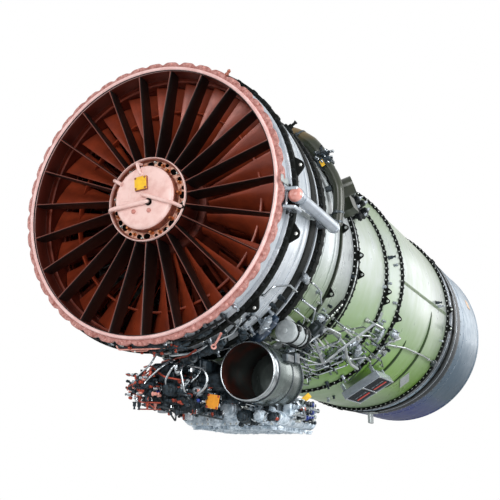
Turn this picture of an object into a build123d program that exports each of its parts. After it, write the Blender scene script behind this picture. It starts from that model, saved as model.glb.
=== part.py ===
from build123d import *
from math import cos, pi, radians, sin, sqrt
import os

os.makedirs("parts", exist_ok=True)

# A low-bypass turbofan with fixed inlet guide vanes, its gearbox below and its jet pipe behind.
# Millimetres. The engine axis is Y, with the inlet facing -Y. Z is up, so the gearbox hangs at -Z.
# The origin is the centre of the inlet flange's front face.

# Inlet
INLET_R = 450.0
LIP_FRONT = -10.0
LIP_R = 462.0
SCALLOP_COUNT = 46
SCALLOP_VALLEY_R = 470.0
SCALLOP_TIP_R = 483.0
INLET_FLANGE_T = 12.0
VANE_COUNT = 23
VANE_T = 7.0
HUB_R = 143.0
HUB_FRONT = -8.0
HUB_REAR = 92.0
COVER_R = 110.0
COVER_FRONT = -25.0

# Stations along the axis of the casing joints, and the radius of each joint's flange
FLANGE_1 = (80.0, 493.0)
GROOVE_FRONT = 300.0
GROOVE_R = 464.0
FLANGE_3 = (385.0, 482.0)
FLANGE_4 = (603.0, 468.0)
FLANGE_5 = (921.0, 425.0)
FLANGE_6 = (1254.0, 453.0)
FLANGE_7 = (1348.0, 498.0)
FLANGE_8 = (2235.0, 504.0)
CLAMP_REAR = 2450.0
TAIL_REAR = 3083.0
TAIL_R = 499.0
TAIL_HOLES = 8
TAIL_PITCH_R = 484.0
REAR_DUCT_R = 491.0
FLANGE_T = 14.0

# Core
CORE_FRONT = 470.0
SPLITTER_R = 330.0
CORE_R = 300.0
BURNER_R = 318.0
BURNER_FRONT = 880.0
TURBINE_FRONT = 1100.0
FRAME_REAR = 1400.0
CONE_REAR = 1760.0
LINER_R = 468.0

LUG_ANGLES = (82.0, 107.0, 136.0, -95.0)

# Fan rotor: each disc's station, half width and rim radius, and the blades on each
FAN_DISCS = ((132.0, 26.0, 168.0), (248.0, 22.0, 202.0), (344.0, 20.0, 230.0))
FAN_BLADES = 24
FAN_TIP_R = 446.0
SHROUD_R = 350.0
CASE_BORE_R = 442.0
MID_R = 460.0

# Shafts and gears
FAN_SHAFT_R = 38.0
CORE_SHAFT_R = 55.0
CORE_BORE_R = 44.0
TOWER_Y = 560.0
TOWER_R = 17.0
SPOOL_GEAR_R = 90.0
BOX_GEAR_R = 44.0
BOX_AXIS_Z = -622.0
BOX_TOP = -562.0
BOX_SHAFT_R = 13.0
BOX_WEB = 650.0
MITRE_TEETH = 16
CORE_ROWS = 4
CORE_PITCH = 50.0
CORE_BLADES = 18
SPUR_TEETH = 24
SPUR_MODULE = 3.0
GEAR_STATION = 700.0
GEAR_FACE = 0.3
RUNNING = 0.05

# Gearbox housing and the open duct beside it
BOX_FRONT = 478.0
BOX_REAR = 820.0
BOX_WALL = 12.0
DUCT_X = 245.0
DUCT_Z = -533.0
DUCT_R = 98.0
DUCT_FRONT = 276.0
DUCT_REAR = 532.0

# Rigid pipes on the ducts: tube radius, radius of the run, and its (angle, station) corners
PIPE_RUNS = (
    (6.0, 515.0, ((141, 610), (131, 660), (131, 809), (134, 841))),
    (8.0, 522.0, ((138, 640), (146, 880), (138, 893), (120, 1039), (120, 1166))),
    (10.0, 532.0, ((134, 913), (140, 1047), (144, 1194), (146, 1370))),
    (5.0, 503.0, ((126, 1362), (123, 1629), (122, 1964), (122.5, 2180))),
    (5.0, 500.0, ((128, 860), (128, 1020), (126, 1135), (127, 1190), (125, 1225))),
)

# Bleed duct's line round the casing
BLEED_R = 506.0
BLEED_Y = 495.0


def turned(*outline):
    """Solid of revolution about the engine axis, from (station, radius) corners."""
    corners = [(radius, station) for station, radius in outline]
    return revolve(make_face(Polyline(*corners, close=True)), Axis.Y)


def on_case(phi, station, radius):
    """Place on the casing: phi is clockwise from the top seen from the front right, local Z points outward."""
    out = Vector(sin(radians(phi)), 0, cos(radians(phi)))
    side = Vector(cos(radians(phi)), 0, -sin(radians(phi)))
    return Plane(origin=out * radius + Vector(0, station, 0), x_dir=side, z_dir=out).location


def along_axis(x, station, z):
    """Place whose local Z runs aft, parallel to the engine axis."""
    return Plane(origin=(x, station, z), x_dir=(1, 0, 0), z_dir=(0, 1, 0)).location


def bar(start, end, radius):
    """Round bar from one point to another."""
    run = Vector(*end) - Vector(*start)
    foot = Plane(origin=start, z_dir=run).location
    return foot * Cylinder(radius, run.length, align=(Align.CENTER, Align.CENTER, Align.MIN))


def disc_y(x, station, z, radius, length):
    """Round boss with its axis fore and aft, from a station towards the rear."""
    place = along_axis(x, station, z)
    return place * Cylinder(radius, length, align=(Align.CENTER, Align.CENTER, Align.MIN))


def pipe(points, radius):
    """Tube of round section through the given points, mitred at its corners."""
    path = Polyline(*points)
    section = Plane(origin=path @ 0, z_dir=path % 0) * Circle(radius)
    return sweep(section, path=path, transition=Transition.RIGHT)


def ring_of(count, radius, start=0.0):
    """Angle and place in the X-Z plane of each of several equal steps round the axis."""
    steps = [start + 360.0 * i / count for i in range(count)]
    return [(phi, radius * sin(radians(phi)), radius * cos(radians(phi))) for phi in steps]


def polyhedron(rings):
    """Closed solid through rings of corners; a ring's two halves are split the same way, so a thin twist stays open."""
    faces = [Face(Wire.make_polygon(list(reversed(rings[0])))), Face(Wire.make_polygon(rings[-1]))]
    for low, high in zip(rings, rings[1:]):
        for i in range(len(low)):
            j = (i + 1) % len(low)
            if i < len(low) // 2:
                halves = ([low[i], low[j], high[j]], [low[i], high[j], high[i]])
            else:
                halves = ([low[i], low[j], high[i]], [low[j], high[j], high[i]])
            faces += [Face(Wire.make_polygon(corners)) for corners in halves]
    return Solid(Shell(faces))


def faceted(sides, *outline):
    """Flat-sided ring about the engine axis from (station, radius) corners, a radius being the middle of a side."""
    if sum((r1 + r0) * (y1 - y0) for (y0, r0), (y1, r1) in zip(outline, outline[1:] + outline[:1])) < 0:
        outline = outline[::-1]
    rows = []
    for station, radius in outline:
        reach = radius / cos(pi / sides)
        turns = [2 * pi * (i - 0.5) / sides for i in range(sides + 1)]
        rows.append([Vector(reach * sin(turn), station, reach * cos(turn)) for turn in turns])
    faces = []
    for low, high in zip(rows, rows[1:] + rows[:1]):
        for i in range(sides):
            corners = [low[i], low[i + 1], high[i + 1], high[i]]
            corners = [p for k, p in enumerate(corners) if (p - corners[k - 1]).length > 1e-6]
            if len(corners) > 2:
                faces.append(Face(Wire.make_polygon(corners)))
    return Solid(Shell(faces))


def blade(phi, station, levels):
    """Twisted blade: each level is (radius, chord, stagger in degrees, thickness) of a lens-shaped section."""
    out = Vector(sin(radians(phi)), 0, cos(radians(phi)))
    side = Vector(cos(radians(phi)), 0, -sin(radians(phi)))
    rings = []
    for radius, chord, stagger, thick in levels:
        run = side * sin(radians(stagger)) + Vector(0, cos(radians(stagger)), 0)
        across = side * cos(radians(stagger)) - Vector(0, sin(radians(stagger)), 0)
        mid = out * radius + Vector(0, station, 0)
        half_run, half_across = run * chord / 2, across * thick / 2
        rings.append([mid - half_run, mid - half_across, mid + half_run, mid + half_across])
    return polyhedron(rings)


def seat_radius(radius, chord, stagger, thick):
    """Radius of a flat blade end whose corners just reach a round wall of the given radius from inside."""
    reach = chord / 2 * abs(sin(radians(stagger))) + thick / 2
    return sqrt(radius * radius - reach * reach)


def blade_row(station, levels, count, start=0.0):
    """Row of blades round the axis, each a solid of its own."""
    return [blade(start + 360.0 * i / count, station, levels) for i in range(count)]


def bladed_disc(station, width, bore, rim, tip, count, chord, stagger, thick):
    """Turbine wheel: a disc with a thin web and one side to each blade seated on it."""
    half = width / 2
    web = width / 5
    disc = faceted(count, (station - half, bore), (station - web, bore + 45), (station - web, rim - 22),
                   (station - half, rim), (station + half, rim), (station + web, rim - 22),
                   (station + web, bore + 45), (station + half, bore))
    levels = [(rim, chord, stagger * 0.6, thick), (tip, chord, stagger, thick * 0.6)]
    return [disc] + blade_row(station, levels, count)


def vane_row(station, inner, outer, count, chord, stagger, thick, start=0.0):
    """Row of fixed vanes between two walls, each a solid of its own."""
    tip = seat_radius(outer, chord, stagger, thick)
    return blade_row(station, [(inner, chord, stagger, thick), (tip, chord, stagger, thick)], count, start)


def toothed_outline(teeth, pitch_r, add, ded, phase):
    """Corners of a gear's outline, four to a tooth, with a tooth centred on the phase angle."""
    step = 2 * pi / teeth
    corners = []
    for i in range(teeth):
        mid = radians(phase) + i * step
        for share, radius in ((-0.27, -ded), (-0.11, add), (0.11, add), (0.27, -ded)):
            turn = mid + share * step
            corners.append(((pitch_r + radius) * cos(turn), (pitch_r + radius) * sin(turn)))
    return corners


def mitre_gear(place, pitch_r, bore, phase):
    """Straight bevel gear of 45 degrees: the apex is the place's origin, the large end lies along local +Z."""
    add, ded = 0.055 * pitch_r, 0.075 * pitch_r
    outline = toothed_outline(MITRE_TEETH, pitch_r, add, ded, phase)
    small = 1.0 - GEAR_FACE
    big_end = [Vector(x, y, pitch_r) for x, y in outline]
    small_end = [Vector(x * small, y * small, pitch_r * small) for x, y in outline]
    body = polyhedron([small_end, big_end])
    hole = Pos(0, 0, pitch_r * small) * Cylinder(bore, pitch_r, align=(Align.CENTER, Align.CENTER, Align.CENTER))
    return place * (body - hole)


def spur_gear(x, station, z, bore, width, phase):
    """Spur gear with its axis fore and aft."""
    pitch_r = SPUR_MODULE * SPUR_TEETH / 2
    outline = toothed_outline(SPUR_TEETH, pitch_r, 0.9 * SPUR_MODULE, 1.15 * SPUR_MODULE, phase)
    wheel = extrude(make_face(Polyline(*outline, close=True)) - Circle(bore), width)
    return along_axis(x, station, z) * wheel


# Inlet

def inlet_ring():
    """Inlet casing ring with a rounded lip and the scalloped flange for the intake's bolts."""
    rear = FLANGE_1[0] - FLANGE_T
    ring = turned((0, INLET_R), (LIP_FRONT, INLET_R + 5), (LIP_FRONT, LIP_R), (INLET_FLANGE_T, LIP_R),
                  (INLET_FLANGE_T, 466), (rear, 466), (rear, INLET_R))
    outline = []
    step = 360.0 / SCALLOP_COUNT
    for i in range(SCALLOP_COUNT):
        for share, radius in ((-0.42, SCALLOP_VALLEY_R), (-0.20, SCALLOP_TIP_R), (0.20, SCALLOP_TIP_R),
                              (0.42, SCALLOP_VALLEY_R)):
            turn = radians((i + share) * step)
            outline.append((radius * sin(turn), radius * cos(turn)))
    flange = extrude(make_face(Polyline(*outline, close=True)) - Circle(LIP_R - 2), INLET_FLANGE_T)
    return ring + along_axis(0, 0, 0) * flange


def guide_vanes():
    """Symmetrical struts that carry the front bearing, each a separate welded piece."""
    def section(radius, chord):
        half = VANE_T / 2
        return [Vector(0, 2, radius), Vector(half, 2 + chord * 0.14, radius),
                Vector(half * 0.9, 2 + chord * 0.6, radius), Vector(0, 2 + chord, radius),
                Vector(-half * 0.9, 2 + chord * 0.6, radius), Vector(-half, 2 + chord * 0.14, radius)]
    one = polyhedron([section(HUB_R, 86), section(seat_radius(INLET_R, 0, 0, VANE_T), 60)])
    return [Rot(0, 180.0 + 360.0 * i / VANE_COUNT, 0) * one for i in range(VANE_COUNT)]


def hub_ring():
    """Front bearing housing: a deep cup with a seat for the bearing in its rear wall."""
    return turned((-4, HUB_R - 14), (-4, HUB_R), (HUB_REAR, HUB_R), (HUB_REAR, 76), (HUB_REAR - 34, 76),
                  (HUB_REAR - 34, HUB_R - 14))


def nose_cover():
    """Dished cover over the front bearing, its bolted rim, and a raised square pad for its plate."""
    shell = turned((COVER_FRONT, 0), (COVER_FRONT, COVER_R - 7), (COVER_FRONT + 6, COVER_R), (HUB_FRONT, COVER_R),
                   (HUB_FRONT, HUB_R - 3), (-4, HUB_R - 3), (-4, COVER_R - 6), (COVER_FRONT + 6, COVER_R - 6),
                   (COVER_FRONT + 6, 0))
    pad = Pos(-10, COVER_FRONT - 3, 48) * Rot(0, -10, 0) * Box(42, 8, 44)
    bosses = [disc_y(x, COVER_FRONT - 9, z, 6.5, 11) for x, z in ((-33, -48), (25, -49))]
    return shell + pad + bosses


def nose_plate():
    """Bare square plate on the cover's raised pad."""
    return Pos(-10, COVER_FRONT - 8.5, 48) * Rot(0, -10, 0) * Box(34, 3, 36)


def nose_pipes():
    """Oil and vent pipes of the front bearing, lying across the cover, and the short one at the top."""
    front = COVER_FRONT - 12
    upper = pipe([(0, COVER_FRONT, 9), (0, front, 9), (112, front, -38), (130, HUB_FRONT + 4, -45)], 6)
    lower = pipe([(32, COVER_FRONT, -27), (32, front, -27), (-108, front, -37), (-130, HUB_FRONT + 4, -40)], 7)
    top = pipe([(-37, HUB_FRONT, 118), (-37, front, 118), (-22, front, 78), (-22, COVER_FRONT, 78)], 5)
    seat = turned((HUB_FRONT, 0), (HUB_FRONT, HUB_R), (HUB_FRONT + 20, HUB_R), (HUB_FRONT + 20, 0))
    return [run - seat for run in (upper, lower, top)]


def front_bearing():
    """Roller bearing that carries the front of the fan shaft: its outer race and its rollers."""
    race = faceted(14, (HUB_REAR - 30, 62), (HUB_REAR - 4, 62), (HUB_REAR - 4, 74), (HUB_REAR - 30, 74))
    roller = extrude(RegularPolygon(5.9, 8), 16)
    return [race] + [along_axis(x, HUB_REAR - 25, z) * roller for phi, x, z in ring_of(14, 56.0)]


# Fan

def fan_case():
    """Front fan casing: a plain drum that carries the first joint flange."""
    front, flange_r = FLANGE_1
    return turned((front - FLANGE_T, INLET_R), (front - FLANGE_T, flange_r), (front + FLANGE_T, flange_r),
                  (front + FLANGE_T, 477), (GROOVE_FRONT, 477), (GROOVE_FRONT, INLET_R))


def fan_case_rear():
    """Rear fan casing: a recessed band, then the wide toothed joint flange."""
    rear, flange_r = FLANGE_3
    return turned((GROOVE_FRONT, INLET_R), (GROOVE_FRONT, GROOVE_R), (rear - 43, GROOVE_R),
                  (rear - 35, flange_r), (rear, flange_r), (rear, INLET_R))


def casing_form():
    """The casings' outer form as one solid, used to seat the outer fittings on it."""
    f1, f3, f4, f5, f6, f7, f8 = FLANGE_1, FLANGE_3, FLANGE_4, FLANGE_5, FLANGE_6, FLANGE_7, FLANGE_8
    return turned((LIP_FRONT, 0), (LIP_FRONT, SCALLOP_TIP_R + 1), (INLET_FLANGE_T, SCALLOP_TIP_R + 1),
                  (INLET_FLANGE_T, 466), (f1[0] - FLANGE_T, 466), (f1[0] - FLANGE_T, f1[1]),
                  (f1[0] + FLANGE_T, f1[1]), (f1[0] + FLANGE_T, 477), (GROOVE_FRONT, 477), (GROOVE_FRONT, GROOVE_R),
                  (f3[0] - 43, GROOVE_R), (f3[0] - 35, f3[1]), (f3[0], f3[1]), (f3[0], MID_R), (f4[0] - 14, MID_R),
                  (f4[0] - 14, f4[1]), (f4[0], f4[1]), (f4[0], 450), (f5[0] - 20, 412), (f5[0] - 20, f5[1]),
                  (f5[0] + 22, f5[1]), (f5[0] + 22, 416), (f6[0] - 12, 442), (f6[0] - 12, f6[1]), (f6[0], f6[1]),
                  (f6[0], 450), (f7[0] - 60, 450), (f7[0] - 12, 486), (f7[0] - 12, f7[1]), (f7[0], f7[1]),
                  (f7[0], REAR_DUCT_R), (f8[0] - 12, REAR_DUCT_R), (f8[0] - 12, f8[1]), (f8[0], f8[1]),
                  (f8[0], TAIL_R + 1), (TAIL_REAR, TAIL_R + 1), (TAIL_REAR, 0))


def case_lugs():
    """Handling lugs on the first joint flange, each a triangle with a hole."""
    outline = make_face(Polyline((-46, -4), (46, -4), (8, 30), (-8, 30), close=True))
    lug = extrude(outline - Pos(0, 17) * Circle(6.5), 10)
    form = casing_form()
    lugs = []
    for phi in LUG_ANGLES:
        place = on_case(phi, FLANGE_1[0] + FLANGE_T, FLANGE_1[1])
        lugs.append(place * Rot(-90, 0, 0) * Pos(0, 0, -10) * Rot(0, 0, 180) * lug - form)
    return lugs


def fan_drum():
    """Fan rotor drum: three discs joined by thin spacers, each with a hub on the fan shaft."""
    outline = []
    for station, half, rim in FAN_DISCS:
        outline += [(station - half, rim), (station + half, rim)]
    inner = []
    for station, half, rim in reversed(FAN_DISCS):
        inner += [(station + 9, rim - 16), (station + half * 0.8, FAN_SHAFT_R), (station - half * 0.8, FAN_SHAFT_R),
                  (station - 9, rim - 16)]
    return faceted(FAN_BLADES, *outline, *inner)


def fan_blades_front():
    """First-stage fan blades, each twisted and with its piece of the part-span shroud."""
    station, half, rim = FAN_DISCS[0]
    count = FAN_BLADES
    levels = [(rim, 50, 18, 11), (260, 72, 34, 9), (SHROUD_R - 2, 92, 50, 7), (FAN_TIP_R, 112, 62, 4.5)]
    turn = 180.0 / count - 0.12
    corners = [(radius, phi) for radius, phi in ((SHROUD_R, -turn), (SHROUD_R, turn),
                                                 (SHROUD_R + 7, turn), (SHROUD_R + 7, -turn))]
    wedge = make_face(Polyline(*[(r * sin(radians(p)), -r * cos(radians(p))) for r, p in corners], close=True))
    shroud = along_axis(0, station - 13, 0) * extrude(wedge, 26)
    one = blade(0, station, levels) + shroud
    return [Rot(0, 360.0 * i / count, 0) * one for i in range(count)]


def fan_blades_rear():
    """Blades of the second and third fan stages."""
    blades = []
    for station, half, rim in FAN_DISCS[1:]:
        levels = [(rim, half * 2 - 2, 16, 8), ((rim + FAN_TIP_R) / 2, 54, 38, 6), (FAN_TIP_R, 66, 54, 4)]
        blades += blade_row(station, levels, FAN_BLADES)
    return blades


def fan_stators():
    """Vanes between the fan stages, held in the fan casings."""
    return vane_row(192, 196, INLET_R, 20, 30, -14, 6) + vane_row(298, 226, INLET_R, 20, 26, -14, 6)


def fan_exit_vanes():
    """Straightening vanes behind the last fan stage, from the inner drum to the casing."""
    return vane_row(420, 250, CASE_BORE_R, 24, 56, 0, 7)


def fan_turbine():
    """Fan turbine wheel at the rear of the fan shaft."""
    return bladed_disc(1225, 40, FAN_SHAFT_R, 206, 303, 20, 34, 40, 7)


def fan_shaft():
    """Fan shaft, running through the core spool to the fan turbine."""
    return turned((20, 0), (20, 30), (HUB_REAR - 32, 30), (HUB_REAR - 32, 50 - RUNNING), (HUB_REAR + 2, 50 - RUNNING),
                  (HUB_REAR + 2, FAN_SHAFT_R), (1290, FAN_SHAFT_R), (1290, 30), (1320, 30), (1320, 0))


# Casings behind the fan

def intermediate_case():
    """Casting that carries the mounts and the gearbox, narrowing towards the first duct."""
    f3, f4, f5 = FLANGE_3, FLANGE_4, FLANGE_5
    shell = turned((f3[0], MID_R), (f4[0] - 14, MID_R), (f4[0] - 14, f4[1]), (f4[0], f4[1]), (f4[0], 450),
                   (f5[0] - 20, 412), (f5[0] - 20, f5[1]), (f5[0], f5[1]), (f5[0], 402), (f4[0], CASE_BORE_R),
                   (f3[0], CASE_BORE_R))
    return shell - bar((0, TOWER_Y, -420), (0, TOWER_Y, -500), TOWER_R + 9)


def frame_struts():
    """Radial struts across the bypass and the core stream; the tower shaft's tube takes the lowest place."""
    outline = ((-9, -36), (0, -66), (9, -36), (7, 20), (0, 42), (-7, 20))
    tip = seat_radius(CASE_BORE_R, 0, 0, 18)

    def ring(floor, fall):
        return [Vector(x, TOWER_Y + y, floor - fall * (TOWER_Y + y - CORE_FRONT)) for x, y in outline]
    outer = polyhedron([ring(SPLITTER_R, 0), ring(tip, 0)])
    inner = polyhedron([ring(250, 54 / 198), ring(SPLITTER_R - 12, 26 / 160)])
    return [Rot(0, 45.0 * i, 0) * strut for i in range(-3, 4) for strut in (outer, inner)]


def duct_front():
    """First bypass duct, a flaring sheet shell with a flange at each end."""
    f5, f6 = FLANGE_5, FLANGE_6
    return turned((f5[0], 402), (f5[0], f5[1]), (f5[0] + 22, f5[1]), (f5[0] + 22, 416), (f6[0] - 12, 442),
                  (f6[0] - 12, f6[1]), (f6[0], f6[1]), (f6[0], 438))


def duct_ring():
    """Short ring that grows from the first duct to the second."""
    f6, f7 = FLANGE_6, FLANGE_7
    return turned((f6[0], 438), (f6[0], 450), (f7[0] - 60, 450), (f7[0] - 12, 486), (f7[0] - 12, f7[1]),
                  (f7[0], f7[1]), (f7[0], 480), (f7[0] - 64, 444))


def duct_rear():
    """Long bypass duct round the jet pipe."""
    f7, f8 = FLANGE_7, FLANGE_8
    return turned((f7[0], 486), (f7[0], REAR_DUCT_R), (f8[0] - 12, REAR_DUCT_R), (f8[0] - 12, f8[1]),
                  (f8[0], f8[1]), (f8[0], 486))


def clamp_ring():
    """Blue-grey ring with the polished clamp band of the jet-pipe joint."""
    front = FLANGE_8[0]
    return turned((front, 486), (front, 500), (front + 120, 500), (front + 120, 505), (front + 140, 505),
                  (front + 140, 500), (CLAMP_REAR, 500), (CLAMP_REAR, 486))


def tail_case():
    """Jet-pipe shell that ends in the nozzle flange, with the flange's bolt holes."""
    shell = turned((CLAMP_REAR, 490), (CLAMP_REAR, TAIL_R), (TAIL_REAR, TAIL_R), (TAIL_REAR, LINER_R + 3),
                   (TAIL_REAR - 12, LINER_R + 3), (TAIL_REAR - 12, 490))
    holes = [disc_y(x, TAIL_REAR - 14, z, 5.5, 16) for phi, x, z in ring_of(TAIL_HOLES, TAIL_PITCH_R, 22.5)]
    return shell - holes


def jet_pipe_liner():
    """Heat shield inside the jet pipe, held off the duct by its front ring."""
    return turned((1700, LINER_R), (1700, 486), (1712, 486), (1712, LINER_R + 3), (TAIL_REAR - 12, LINER_R + 3),
                  (TAIL_REAR - 12, LINER_R))


# Core

def core_front_case():
    """Splitter and front core casing round the compressor."""
    return faceted(24, (CORE_FRONT, SPLITTER_R - 12), (CORE_FRONT, SPLITTER_R), (TOWER_Y + 70, SPLITTER_R),
                   (BURNER_FRONT, CORE_R), (BURNER_FRONT, CORE_R - 8), (TOWER_Y + 70, CORE_R - 8)) - \
        bar((0, TOWER_Y, -280), (0, TOWER_Y, -350), TOWER_R + 9)


def core_hub():
    """Inner wall of the core inlet, which carries the middle bearing and the tower shaft's top bearing."""
    rear = TOWER_Y + 108
    wall = faceted(24, (400, 236), (400, 250), (CORE_FRONT, 250), (rear, 196), (rear, 74), (rear - 10, 74),
                   (rear - 10, 182), (CORE_FRONT, 236))
    return wall - bar((0, TOWER_Y, -150), (0, TOWER_Y, -300), TOWER_R + 9)


def burner_case():
    """Combustor pressure casing."""
    return faceted(24, (BURNER_FRONT, CORE_R - 12), (BURNER_FRONT, BURNER_R), (TURBINE_FRONT, BURNER_R),
                   (TURBINE_FRONT, BURNER_R - 10), (BURNER_FRONT + 12, BURNER_R - 10), (BURNER_FRONT + 12, CORE_R - 12))


def burner_liner():
    """Annular combustion liner: a hollow ring with a domed front."""
    front = BURNER_FRONT + 44
    return faceted(24, (front + 20, 196), (front, 216), (front, 266), (front + 20, 286), (TURBINE_FRONT, 286),
                   (TURBINE_FRONT, 282), (front + 24, 282), (front + 24, 200), (TURBINE_FRONT, 200),
                   (TURBINE_FRONT, 196))


def fuel_nozzles():
    """Fuel nozzles between the pressure casing and the liner's front."""
    top = seat_radius(BURNER_R - 10, 0, 0, 9)
    stem = Pos(0, BURNER_FRONT + 38, (top + 232) / 2) * Box(9, 12, top - 232)
    return [Rot(0, 15.0 + 30.0 * i, 0) * stem for i in range(12)]


def compressor_rim(station):
    """Radius of the compressor drum at a station."""
    front, rear = TOWER_Y + 112, BURNER_FRONT - 20
    return 196 + 30 * (station - front) / (rear - front)


def core_compressor():
    """Compressor drum on the core shaft, with its rows of blades seated on it."""
    front, rear = TOWER_Y + 112, BURNER_FRONT - 20
    drum = faceted(CORE_BLADES, (front, CORE_SHAFT_R), (front, 196), (rear, 226), (rear, 206), (front + 12, 176),
                   (front + 12, CORE_SHAFT_R))
    blades = []
    for row in range(CORE_ROWS):
        station = front + 14 + row * CORE_PITCH
        root = compressor_rim(station)
        blades += blade_row(station, [(root, 20, 30, 4), (CORE_R - 13, 20, 48, 3)], CORE_BLADES)
    return [drum] + blades


def core_stators():
    """Vanes between the compressor rows, held in the core casing."""
    vanes = []
    for row in range(CORE_ROWS - 1):
        station = TOWER_Y + 124 + (row + 0.5) * CORE_PITCH
        vanes += vane_row(station, compressor_rim(station) + 5, CORE_R - 8, CORE_BLADES, 16, -25, 4)
    return vanes


def core_shaft():
    """Core shaft from its bevel gear to the core turbine."""
    front = TOWER_Y - SPOOL_GEAR_R - 8
    shaft = turned((front, CORE_BORE_R), (front, CORE_SHAFT_R), (TURBINE_FRONT + 70, CORE_SHAFT_R),
                   (TURBINE_FRONT + 70, CORE_BORE_R))
    place = Plane(origin=(0, TOWER_Y, 0), x_dir=(0, 0, -1), z_dir=(0, -1, 0)).location
    return shaft + mitre_gear(place, SPOOL_GEAR_R, CORE_SHAFT_R - 1, 0)


def core_turbine():
    """Core turbine wheel at the rear of the core shaft."""
    return bladed_disc(TURBINE_FRONT + 50, 36, CORE_SHAFT_R, 206, 299, 20, 30, 40, 7)


def turbine_case():
    """Turbine casing and exhaust frame's outer wall."""
    return faceted(24, (TURBINE_FRONT, 304), (TURBINE_FRONT, BURNER_R), (FRAME_REAR, 330), (FRAME_REAR, 322),
                   (TURBINE_FRONT + 130, 308))


def turbine_vanes():
    """Nozzle vanes ahead of each turbine wheel."""
    return vane_row(TURBINE_FRONT + 14, 212, 303, 16, 24, 30, 6) + \
        vane_row(TURBINE_FRONT + 92, 212, 304, 16, 26, -25, 6)


def exhaust_frame():
    """Turbine exhaust frame: struts and the inner ring that carries the rear bearing."""
    hub = faceted(24, (1262, 64), (1262, 214), (FRAME_REAR, 214), (FRAME_REAR, 206), (1276, 206), (1276, 64))
    outline = ((-9, 1272), (9, 1272), (9, 1390), (-9, 1390))
    strut = polyhedron([[Vector(x, y, 214) for x, y in outline],
                        [Vector(x, y, 308 + 14 * (y - TURBINE_FRONT - 130) / 170) for x, y in outline]])
    return [hub] + [Rot(0, 45.0 * i, 0) * strut for i in range(8)]


def exhaust_cone():
    """Tail cone behind the turbine."""
    return faceted(24, (FRAME_REAR, 204), (FRAME_REAR, 214), (FRAME_REAR + 120, 186), (CONE_REAR - 60, 60),
                   (CONE_REAR, 20), (CONE_REAR, 0), (CONE_REAR - 10, 0), (FRAME_REAR + 118, 174))


def mixer():
    """Lobed mixer that joins the core stream to the bypass stream."""
    lobes = 12
    def wave(station, mean, depth, wall):
        return [Vector((mean + wall + depth * cos(lobes * t)) * sin(t), station,
                       (mean + wall + depth * cos(lobes * t)) * cos(t))
                for t in [2 * pi * i / (4 * lobes) for i in range(4 * lobes)]]
    outer = polyhedron([wave(FRAME_REAR, 326, 0, 4), wave(FRAME_REAR + 150, 340, 44, 4)])
    inner = polyhedron([wave(FRAME_REAR - 0.5, 326, 0, 0), wave(FRAME_REAR + 150.5, 340, 44, 0)])
    return outer - inner


def flame_holder():
    """Two gutter rings across the jet pipe, and the arms behind them that reach the liner."""
    rings = [faceted(24, (1840, radius), (1890, radius + 24), (1890, radius + 18), (1852, radius),
                     (1890, radius - 18), (1890, radius - 24)) for radius in (190.0, 335.0)]
    top = seat_radius(LINER_R, 0, 0, 10)
    arm = Pos(0, 1895, (170 + top) / 2) * Box(10, 10, top - 170)
    return rings + [Rot(0, 45.0 * i, 0) * arm for i in range(8)]


# Outer fittings

def side_strut():
    """Mount strut on the right side: a fork on the first flange, a round head and a bar aft to its foot."""
    x, z = 515.0, -48.0
    head = disc_y(x, 8, z, 27, 52)
    rod = disc_y(x, 60, z, 19, 335)
    foot = on_case(95, 36, 488) * Box(54, 58, 30)
    rear_foot = on_case(95.2, 330, 488) * Box(24, 30, 40)
    return head + rod + foot + rear_foot - casing_form()


def top_mount():
    """Main mount: a block on the intermediate casing with a cross bore for the hanger pin."""
    block = on_case(0, 500, 450) * Pos(0, 0, 40) * Box(110, 80, 80)
    ears = on_case(0, 500, 535) * Box(60, 60, 90)
    bore = bar((-60, 500, 550), (60, 500, 550), 15)
    return block + ears - bore - casing_form()


def bleed_duct():
    """Olive bleed duct round the upper right of the intermediate casing in straight gores, wider at its top."""
    def run(first, last, radius):
        turns = [radians(phi) for phi in range(first, last - 1, -8)]
        return pipe([(BLEED_R * sin(turn), BLEED_Y, BLEED_R * cos(turn)) for turn in turns], radius)
    duct = run(90, 42, 23) + run(58, 42, 29)
    clamps = [on_case(phi, BLEED_Y, BLEED_R - 25) * Box(26, 24, 44) for phi in (84, 62)]
    return [duct] + [clamp - casing_form() - duct for clamp in clamps]


def tower_tube():
    """Tube that guards the tower shaft from the core hub out to the gearbox."""
    return bar((0, TOWER_Y, -202), (0, TOWER_Y, BOX_TOP), TOWER_R + 9) - \
        bar((0, TOWER_Y, -190), (0, TOWER_Y, BOX_TOP - 10), TOWER_R + 5)


def tower_shaft():
    """Radial shaft from the core spool to the gearbox, with a bevel gear at each end."""
    top = -SPOOL_GEAR_R * (1 - GEAR_FACE) + 2
    low = BOX_AXIS_Z + BOX_GEAR_R * (1 - GEAR_FACE)
    upper_place = Plane(origin=(0, TOWER_Y, 0), x_dir=(0, -1, 0), z_dir=(0, 0, -1)).location
    lower_place = Plane(origin=(0, TOWER_Y, BOX_AXIS_Z), x_dir=(0, 1, 0), z_dir=(0, 0, 1)).location
    return bar((0, TOWER_Y, top), (0, TOWER_Y, low), TOWER_R) + \
        mitre_gear(upper_place, SPOOL_GEAR_R, TOWER_R - 1, 180.0 / MITRE_TEETH) + \
        mitre_gear(lower_place, BOX_GEAR_R, TOWER_R - 1, 0)


def shaft_bearings():
    """Bearings of the core shaft, the turbine end of the fan shaft and the tower shaft."""
    core = faceted(24, (TOWER_Y + 98, CORE_SHAFT_R + RUNNING), (TOWER_Y + 108, CORE_SHAFT_R + RUNNING),
                   (TOWER_Y + 108, 74), (TOWER_Y + 98, 74))
    rear = faceted(24, (1262, FAN_SHAFT_R + RUNNING), (1276, FAN_SHAFT_R + RUNNING), (1276, 64), (1262, 64))
    tower = [bar((0, TOWER_Y, z), (0, TOWER_Y, z - 12), TOWER_R + 5) -
             bar((0, TOWER_Y, z + 5), (0, TOWER_Y, z - 20), TOWER_R + RUNNING) for z in (-210, -540)]
    return [core, rear] + tower


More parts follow.
